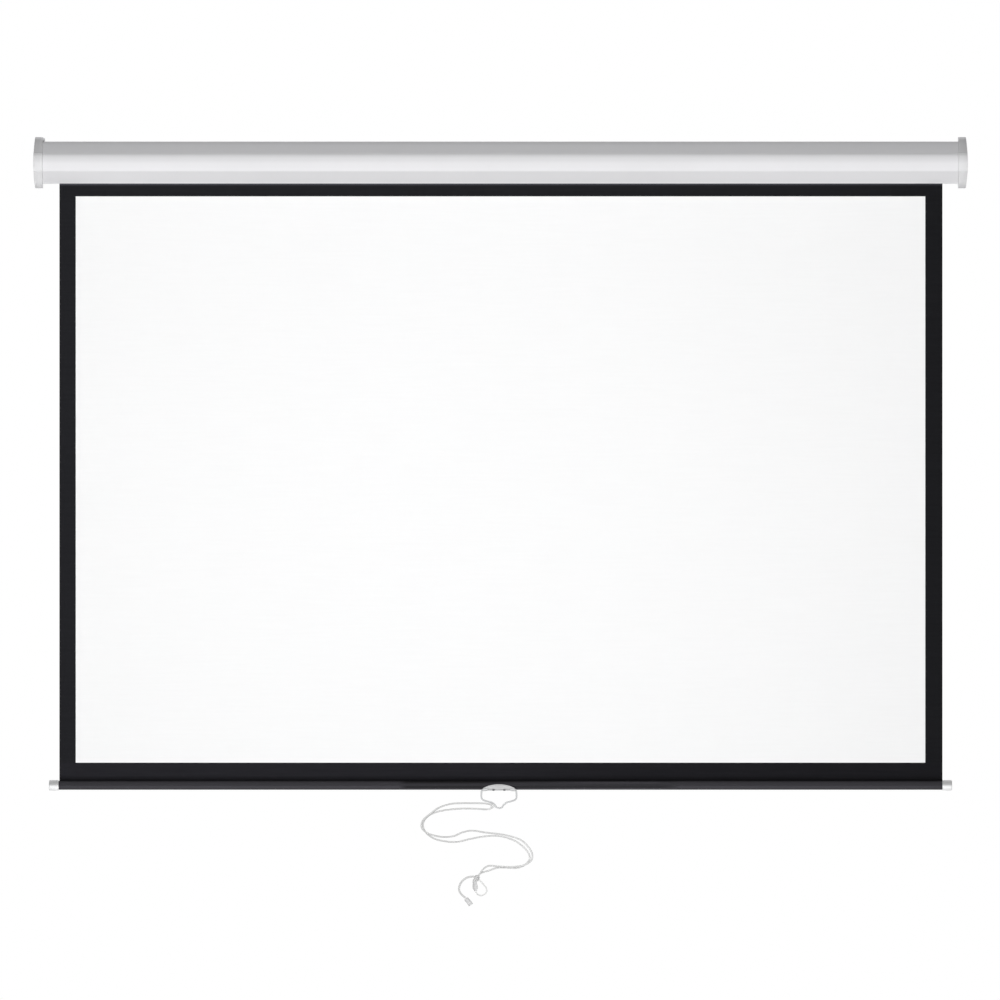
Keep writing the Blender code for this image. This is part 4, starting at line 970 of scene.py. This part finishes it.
hitchSpec = {
    "turns": 2.2,
    "thick": 0.0009,             # the cord is squeezed where it is wound round the wire
    "coilRadius": 0.0031,
    "length": 0.0046,
    "lead": 0.35,
    "hang": (-1.1, 0, -1.7),     # the turns hang a little below the wire
    # the bight, millimetres from the hitch's middle: (right, nearer the viewer, up), from
    # the lower strand up in front of the wire, then back behind it to the upper strand
    "bight": [(-8.8, 0, -9.4), (-7.0, 0.4, -9.1), (-5.4, 1.4, -8.0), (-4.2, 2.6, -5.8),
              (-2.8, 3.4, -3.9), (-1.2, 3.3, -2.3), (0.2, 1.8, -1.2), (0.3, -1.2, -0.6),
              (-1.2, -3.0, -0.5), (-3.6, -2.4, -0.6), (-6.4, -0.6, -0.7), (-8.6, 0, -0.6)],
    "bightRadius": 0.0016,
    # a second, thinner turn below it
    "tuck": [(-6.6, 0.8, -9.0), (-4.4, 0.6, -8.3), (-1.6, 0.2, -6.9), (0.7, 0.3, -4.7),
             (1.5, 0.6, -2.4)],
    "tuckRadius": 0.0011,
    "across": (0.35, 0.0, 0.94),
}


def fromMiddle(points):
    # Points given as (right, nearer the viewer, up) in millimetres from the hitch's middle.
    return hitch + np.asarray(points, float) * (1, -1, 1) / 1000


def makeHitch():
    # The doubled cord's hitch: turns wound round the wire, and the bight that crosses them.
    spec, sides = hitchSpec, knotSpec["sides"]
    wire = bailLine()
    near = int(np.argmin(np.linalg.norm(wire - hitch, axis=1)))
    half = unit(wire[near + 3] - wire[near - 3]) * spec["length"] / 2
    hung = fromMiddle(spec["hang"])
    coil, out = coilLine(hung - half, hung + half, spec["coilRadius"], spec["turns"],
                         spec["lead"])
    turns = [braidedTube("wraps", coil, spec["thick"], sides, out)]
    for name in ("bight", "tuck"):
        line = smoothLine(fromMiddle(spec[name]), cordSpec["ring"])
        across = np.cross(unit(np.gradient(line, axis=0)), spec["across"])
        turns.append(braidedTube(name, line, spec[name + "Radius"], sides, across))
    return newPiece(joined("hitchKnot", turns), "hitchYarn", "bail",
                    ["hitch_knot"])


makeBail()
makeHitch()

print("cords ready:", [round(lengthOf(line), 3)
                       for line in (frontLine, backLine, tailLine, loopLine)])


# Screen cloth

clothSpec = {
    "columns": 104,
    "rows": 76,
    "left": -0.7788,             # the side edges lie a little to the right, as photographed
    "right": 0.7803,
    "wave": 0.00022,             # faint long waves of the hung cloth
    "waveFade": 0.15,
    "travel": 1.052,             # how far the bar rises
    "hemTurn": 0.0027,           # the hem turns round its rod this far above its middle
    "rodLoop": 0.0024,
    "hemArc": (80, -250),        # degrees round the rod, from its top over the rear
    "hemPoints": (12, 40),       # down to the rod, and round it
    "hemColumns": 40,
    "rollTurns": 1.1,
    "rollPoints": 110,
    "rollColumns": 24,
    "rollInner": 0.01300,
    "rollOuter": 0.01338,
    "rollHalfThick": 0.00017,
}


def slabMesh(name, front, back, u, v):
    # A closed sheet: a grid of front points, a grid of back points, and a rim that joins
    # their four sides. Faces come as front, back, rim, in that order.
    rows, columns = front.shape[:2]
    count = rows * columns
    quads = gridQuads(rows, columns, False)
    index = np.arange(count).reshape(rows, columns)
    loop = np.concatenate([index[0], index[1:, -1], index[-1, -2::-1], index[-2:0:-1, 0]])
    after = np.roll(loop, -1)
    rim = np.stack([loop, after, after + count, loop + count], 1)
    faces = np.vstack([quads, quads[:, ::-1] + count, rim])
    uvFront = gridUv(u, v)
    uvBack = uvFront.reshape(-1, 4, 2)[:, ::-1].reshape(-1, 2)
    spot = np.stack(np.meshgrid(u, v), -1).reshape(-1, 2)
    uvRim = spot[np.stack([loop, after, after, loop], 1)].reshape(-1, 2)
    points = np.concatenate([front.reshape(-1, 3), back.reshape(-1, 3)])
    return meshFrom(name, points, faces.tolist(), np.vstack([uvFront, uvBack, uvRim]))


def carriedAlong(x, y, z):
    # A profile of (y, z) carried along X: one row for each of its points.
    return np.stack(np.broadcast_arrays(x, y[:, None], z[:, None]), -1)


def stripMesh(name, x, line, step):
    # A sheet along X whose section is the line of (y, z), with step on either side of it.
    tangent = unit(np.gradient(line, axis=0))
    normal = np.stack([tangent[:, 1], -tangent[:, 0]], 1)
    front, back = [carriedAlong(x, *(line + normal * side).T) for side in (step, -step)]
    return slabMesh(name, front, back, x - x[0], runningLength(line))


def clothWaves(x, z):
    # Long shallow waves that die out at the roller and at the bar.
    fade = (np.clip(-z / clothSpec["waveFade"], 0, 1)
            * np.clip((z - layout["fieldBottom"]) / clothSpec["waveFade"], 0, 1))
    swell = (np.sin(x * 5.1 + 0.6) * np.sin(z * 3.7 + 0.4)
             + 0.5 * np.sin(x * 11.3 + z * 2.1 + 1.9))
    return clothSpec["wave"] * fade * swell


def perFace(mesh, what):
    # Three numbers for each face, such as its middle or its normal.
    values = np.zeros(len(mesh.polygons) * 3, np.float32)
    mesh.polygons.foreach_get(what, values)
    return values.reshape(-1, 3)


def makeCloth():
    p, spec = layout, clothSpec
    x = np.unique(np.concatenate([np.linspace(spec["left"], spec["right"], spec["columns"]),
                                  [-p["fieldHalf"], p["fieldHalf"]]]))
    z = np.unique(np.concatenate([np.linspace(p["fieldBottom"], 0, spec["rows"]),
                                  [p["fieldTop"]]]))[::-1]
    gx, gz = np.meshgrid(x, z)
    y = p["fabricY"] + clothWaves(gx, gz)
    step = p["fabricThick"] / 2
    mesh = slabMesh("screenCloth", np.stack([gx, y - step, gz], -1),
                    np.stack([gx, y + step, gz], -1), x - x[0], -z)
    cloth = newPiece(mesh, ["screenWhite", "maskBlack", "backingBlack"], "bar",
                     ["fabric_field", "border_top", "border_left", "border_right"])
    # The mesh was sorted out by its merge, so each face is told by its own middle and side.
    middles, facing = perFace(mesh, "center"), perFace(mesh, "normal")
    inField = (np.abs(middles[:, 0]) < p["fieldHalf"]) & (middles[:, 2] < p["fieldTop"])
    index = np.where(facing[:, 1] < -0.5, np.where(inField, 0, 1), 2)
    mesh.polygons.foreach_set("material_index", index.astype(np.int32))
    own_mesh(cloth)
    return cloth


def makeHem():
    # Bottom border: straight down into the bar, then round the hem rod in a closed loop.
    spec, rod = clothSpec, layout["rodZ"]
    down, around = spec["hemPoints"]
    straight = np.linspace(layout["fieldBottom"], rod + spec["hemTurn"], down)
    turn = np.radians(np.linspace(*spec["hemArc"], around))
    loop = np.stack([np.cos(turn), np.sin(turn)], 1) * spec["rodLoop"] + (0, rod)
    line = np.vstack([np.stack([0 * straight, straight], 1), loop]) + (layout["fabricY"], 0)
    x = np.linspace(spec["left"], spec["right"], spec["hemColumns"])
    mesh = stripMesh("hemBorder", x, line, layout["fabricThick"] / 2)
    return newPiece(mesh, "hemBlack", "bar", ["border_bottom"])


def makeRoll():
    # What stays on the tube: a spiral whose radius grows by one thickness each turn.
    spec, half = clothSpec, layout["fabricHalf"]
    turn = np.linspace(0, math.tau * spec["rollTurns"], spec["rollPoints"])
    radius = spec["rollInner"] + (spec["rollOuter"] - spec["rollInner"]) * turn / turn[-1]
    line = np.stack([layout["rollerY"] + radius * np.cos(turn), radius * np.sin(turn)], 1)
    x = np.linspace(-half, half, spec["rollColumns"])
    mesh = stripMesh("clothRoll", x, line, spec["rollHalfThick"])
    return newPiece(mesh, "backingBlack", "roller", ["fabric_roll"])


screenCloth, hemBorder, clothRoll = makeCloth(), makeHem(), makeRoll()
print("cloth ready")


# Weight bar, plugs, saddle

barSpec = {
    "radius": 0.008,
    "wall": 0.0012,
    "slotHalf": 0.0015,
    "bevel": 0.00018,
    "arcPoints": 90,
    "stations": 9,
}


def makeWeightBar():
    # Slotted tube: an arc round the outside, back round the inside, carried along X.
    p, spec = layout, barSpec
    opening = math.asin(spec["slotHalf"] / spec["radius"])
    turn = np.linspace(math.pi / 2 + opening, math.pi * 2.5 - opening, spec["arcPoints"])
    arc = np.stack([np.cos(turn), np.sin(turn)], 1)
    ring = np.vstack([arc * spec["radius"], arc[::-1] * (spec["radius"] - spec["wall"])])
    x = np.linspace(-p["barHalf"], p["barHalf"], spec["stations"])
    points = carriedAlong(x, p["fabricY"] + ring[:, 0], p["barZ"] + ring[:, 1])
    # each end is closed between the outer and the inner arc
    n, k = len(turn), np.arange(len(turn) - 1)
    cap = np.stack([k, k + 1, 2 * n - 2 - k, 2 * n - 1 - k], 1)
    faces = np.vstack([gridQuads(len(x), len(ring), True), cap, cap + (len(x) - 1) * len(ring)])
    mesh = meshFrom("weightBar", points.swapaxes(0, 1), faces.tolist())
    return newPiece(mesh, "barPaint", "bar", ["weight_bar"], spec["bevel"])


# Round end plug: a seat in the bar, a narrow step, a soft rim and a dished face, as (radius,
# distance out from the bar's end) in millimetres.
plugProfile = [(0, -15), (5.504, -15), (6.4, -13.5), (6.4, 0.3), (8.85, 0.3), (9.25, 0.8),
               (9.25, 15.8), (7.85, 17.2), (5.25, 17.2), (4.55, 16.7), (0, 16.7)]


def makePlug(name, side, node):
    origin = (side * layout["barHalf"], layout["fabricY"], layout["barZ"])
    mesh = turnedMesh(name, rounded(np.array(plugProfile) / 1000, 0.0009), 64, origin,
                      (side, 0, 0))
    return newPiece(mesh, "plugWhite", "bar", [node])


saddleSpec = {
    "inner": 0.0083,
    "outer": 0.0093,
    "rise": 0.0018,              # top of its arch above the bar's centre
    "sag": 0.0068,               # fall of the arch towards its ends
    "stations": 74,
    "columns": 64,
    "lugRadius": 0.0029,
    "lugLength": 0.008,
    "lugBore": 0.0018,
    "lugEdge": 0.0006,
    "bevel": 0.0003,
    "screwX": 0.0096,
    "screwTilt": 35.0,           # degrees, forwards from straight down
    "screwLength": 0.0040,
    "screwScale": (0.92, 0.8),
}


def makeSaddle():
    # Saddle: for each station along X the shell runs from the front edge, under the bar, to
    # the rear edge. Its edges lie where the arch, part of a circle, cuts the round shell.
    s, p, half = saddleSpec, layout, layout["saddleHalf"]
    bow = (half**2 + s["sag"]**2) / (2 * s["sag"])
    stations = np.linspace(-half, half, s["stations"])
    top = s["rise"] - bow + np.sqrt(bow**2 - stations**2)
    across = np.linspace(-1, 1, s["columns"])[None, :]

    def surface(radius):
        turn = across * np.arccos(np.clip(-top / radius, -1, 1))[:, None]
        y, z = radius * np.sin(turn), -radius * np.cos(turn)
        x = np.repeat(stations[:, None], across.shape[1], axis=1)
        return np.stack([x + p["handleX"], y + p["fabricY"], z + p["barZ"]], -1)

    meshes = [slabMesh("saddleShell", surface(s["outer"]), surface(s["inner"]), stations,
                       across[0])]
    # A lug's section starts and ends at its outer corner on the inner side. Both points are
    # left out, which cuts that corner off, so that the lug narrows a little inwards.
    outer = (s["lugRadius"], s["lugLength"])
    ring = rounded([outer, (s["lugBore"], s["lugLength"]), (s["lugBore"], 0),
                    (s["lugRadius"], 0), outer], s["lugEdge"], 3)[1:-1]
    for side in (-1, 1):
        origin = (p["handleX"] + side * half, p["bailY"], p["bailZ"])
        lug = turnedMesh("lug", ring, 32, origin, (-side, 0, 0), closed=True)
        lug.polygons.foreach_set("material_index", np.ones(len(lug.polygons), np.int32))
        meshes.append(lug)
    return newPiece(joined("handleSaddle", meshes), ["saddlePlastic", "palePlastic"],
                    "bar", ["handle_saddle"], s["bevel"])


makeWeightBar()
makePlug("leftPlug", -1, "bar_plug_left")
makePlug("rightPlug", 1, "bar_plug_right")
makeSaddle()
print("bar and handle ready")


# Screws

screwSpec = {
    "radius": 0.0013,
    "head": 0.0026,
    "headHeight": 0.0016,
    "length": 0.007,
    "sides": 48,
    "pitch": 0.0009,
    "tip": 0.0008,
    "crossHalf": 0.15,           # half width and reach of the cross, as shares of the head
    "crossReach": 0.56,
    "crossDepth": 0.62,          # as a share of the head's height
    "gap": 0.0003,               # from the face to the head's underside
    "plateSink": 0.0012,         # how deep the hanger plates lie
    "plateScale": (0.85, 0.5),
    "capInset": 0.0097,          # from the case's end
    "plateOut": 0.00705,
    "plateUp": 0.021,
    "holderX": 0.8154,
    "holderSide": 0.012,
}


def makeScrew(name, node, body, origin, axis, finish="zincPlate",
              length=screwSpec["length"], scale=(1.0, 1.0)):
    # Pan-head screw: a domed head whose top sinks in a cross wherever the smaller of the two
    # sideways distances is under the slot's half width. The shank carries a shallow thread.
    s = screwSpec
    head, high, shank = s["head"] * scale[0], s["headHeight"] * scale[1], length * scale[1]
    axis, side, other = squareTo(axis)
    turn = turnsRound(s["sides"])[None, :]
    share = np.concatenate([np.linspace(0, 0.94, 22), [0.975, 0.995, 1.0, 1.0]])[:, None]
    lift = np.sqrt(np.maximum(0, 1 - share**3.2))
    lift[-1] = 0.0
    radius = head * share + 0 * turn
    least = np.minimum(np.abs(radius * np.cos(turn)), np.abs(radius * np.sin(turn)))
    cross = (1 / (1 + np.exp((least - head * s["crossHalf"]) / (head * 0.02)))
             / (1 + np.exp((radius - head * s["crossReach"]) / (head * 0.03))))
    height = high * (0.35 * lift + 0.65 * np.minimum(1, (1 - share**8) * 4)
                     - s["crossDepth"] * cross)
    height[-1] = 0.0
    down = np.linspace(0.0001, shank, 40)[:, None]
    thread = s["radius"] * scale[0] * (0.9 + 0.1 * np.cos(math.tau * down / s["pitch"] + turn))
    tip = np.clip((shank - down) / s["tip"], 0, 1)**0.5
    radius = np.vstack([radius, thread * tip])
    height = np.vstack([height, -down + 0 * turn])
    points = roundAbout(np.asarray(origin, float) + height[..., None] * axis, radius, turn,
                        side, other)
    return newPiece(ringMesh(name, points, merge=1e-6), finish, body, [node])


spec, place, saddle = screwSpec, layout, saddleSpec
screwTilt = math.radians(saddle["screwTilt"])
screwAxis = np.array((0, -math.sin(screwTilt), -math.cos(screwTilt)))
for word, side in (("left", -1), ("right", 1)):
    for level, up in (("upper", 1), ("lower", -1)):
        end = word + "_" + level
        slope = np.array((0, math.sqrt(0.5), up * math.sqrt(0.5)))
        seat = (side * (place["caseEnd"] - spec["capInset"]), -place["caseHalf"], 0)
        makeScrew("capScrew_" + end, "cap_screw_" + end, "case",
                  seat + slope * (place["caseHalf"] + spec["gap"]), slope)
        seat = (side * (place["caseEnd"] + spec["plateOut"]), spec["gap"] - spec["plateSink"],
                up * spec["plateUp"])
        makeScrew("plateScrew_" + end, "hanger_screw_" + end, "case", seat, (0, 1, 0),
                  scale=spec["plateScale"])
    seat = (place["handleX"] + side * saddle["screwX"], place["fabricY"], place["barZ"])
    makeScrew("handleScrew_" + word, "handle_screw_" + word, "bar",
              seat + screwAxis * (saddle["outer"] + spec["gap"]), screwAxis, "darkOxide",
              saddle["screwLength"] / saddle["screwScale"][1],
              saddle["screwScale"])
for word, side in (("front", -1), ("rear", 1)):
    seat = (spec["holderX"], place["rollerY"] + side * spec["holderSide"], 0)
    makeScrew("holderScrew_" + word, "holder_screw_" + word, "case", seat, (-1, 0, 0))
print("screws ready")


# Solids that stay, with their own finish

nodeFinish = {
    "casePaint": ["case_shell"],
    "capPlastic": ["left_end_cap", "right_end_cap"],
    "zincPlate": ["left_hanger_plate", "right_hanger_plate", "shaft_holder", "ratchet_wheel",
                  "pawl_pin_front", "pawl_pin_rear"],
    "nylon": ["bearing_bush", "spring_anchor"],
    "drawnSteel": ["spring_shaft", "roller_tube", "gudgeon_pin"],
    "springSteel": ["torsion_spring"],
    "acetal": ["left_roller_plug", "right_roller_plug"],
    "stampedBrass": ["lock_pawl_front", "lock_pawl_rear"],
    "rodNylon": ["hem_spline"],
}
for finish, names in nodeFinish.items():
    for name in names:
        item = nodes[name]
        item.data.materials.clear()
        item.data.materials.append(finishes[finish])
        soften(item)
print("finishes on", sum(map(len, nodeFinish.values())), "solids")
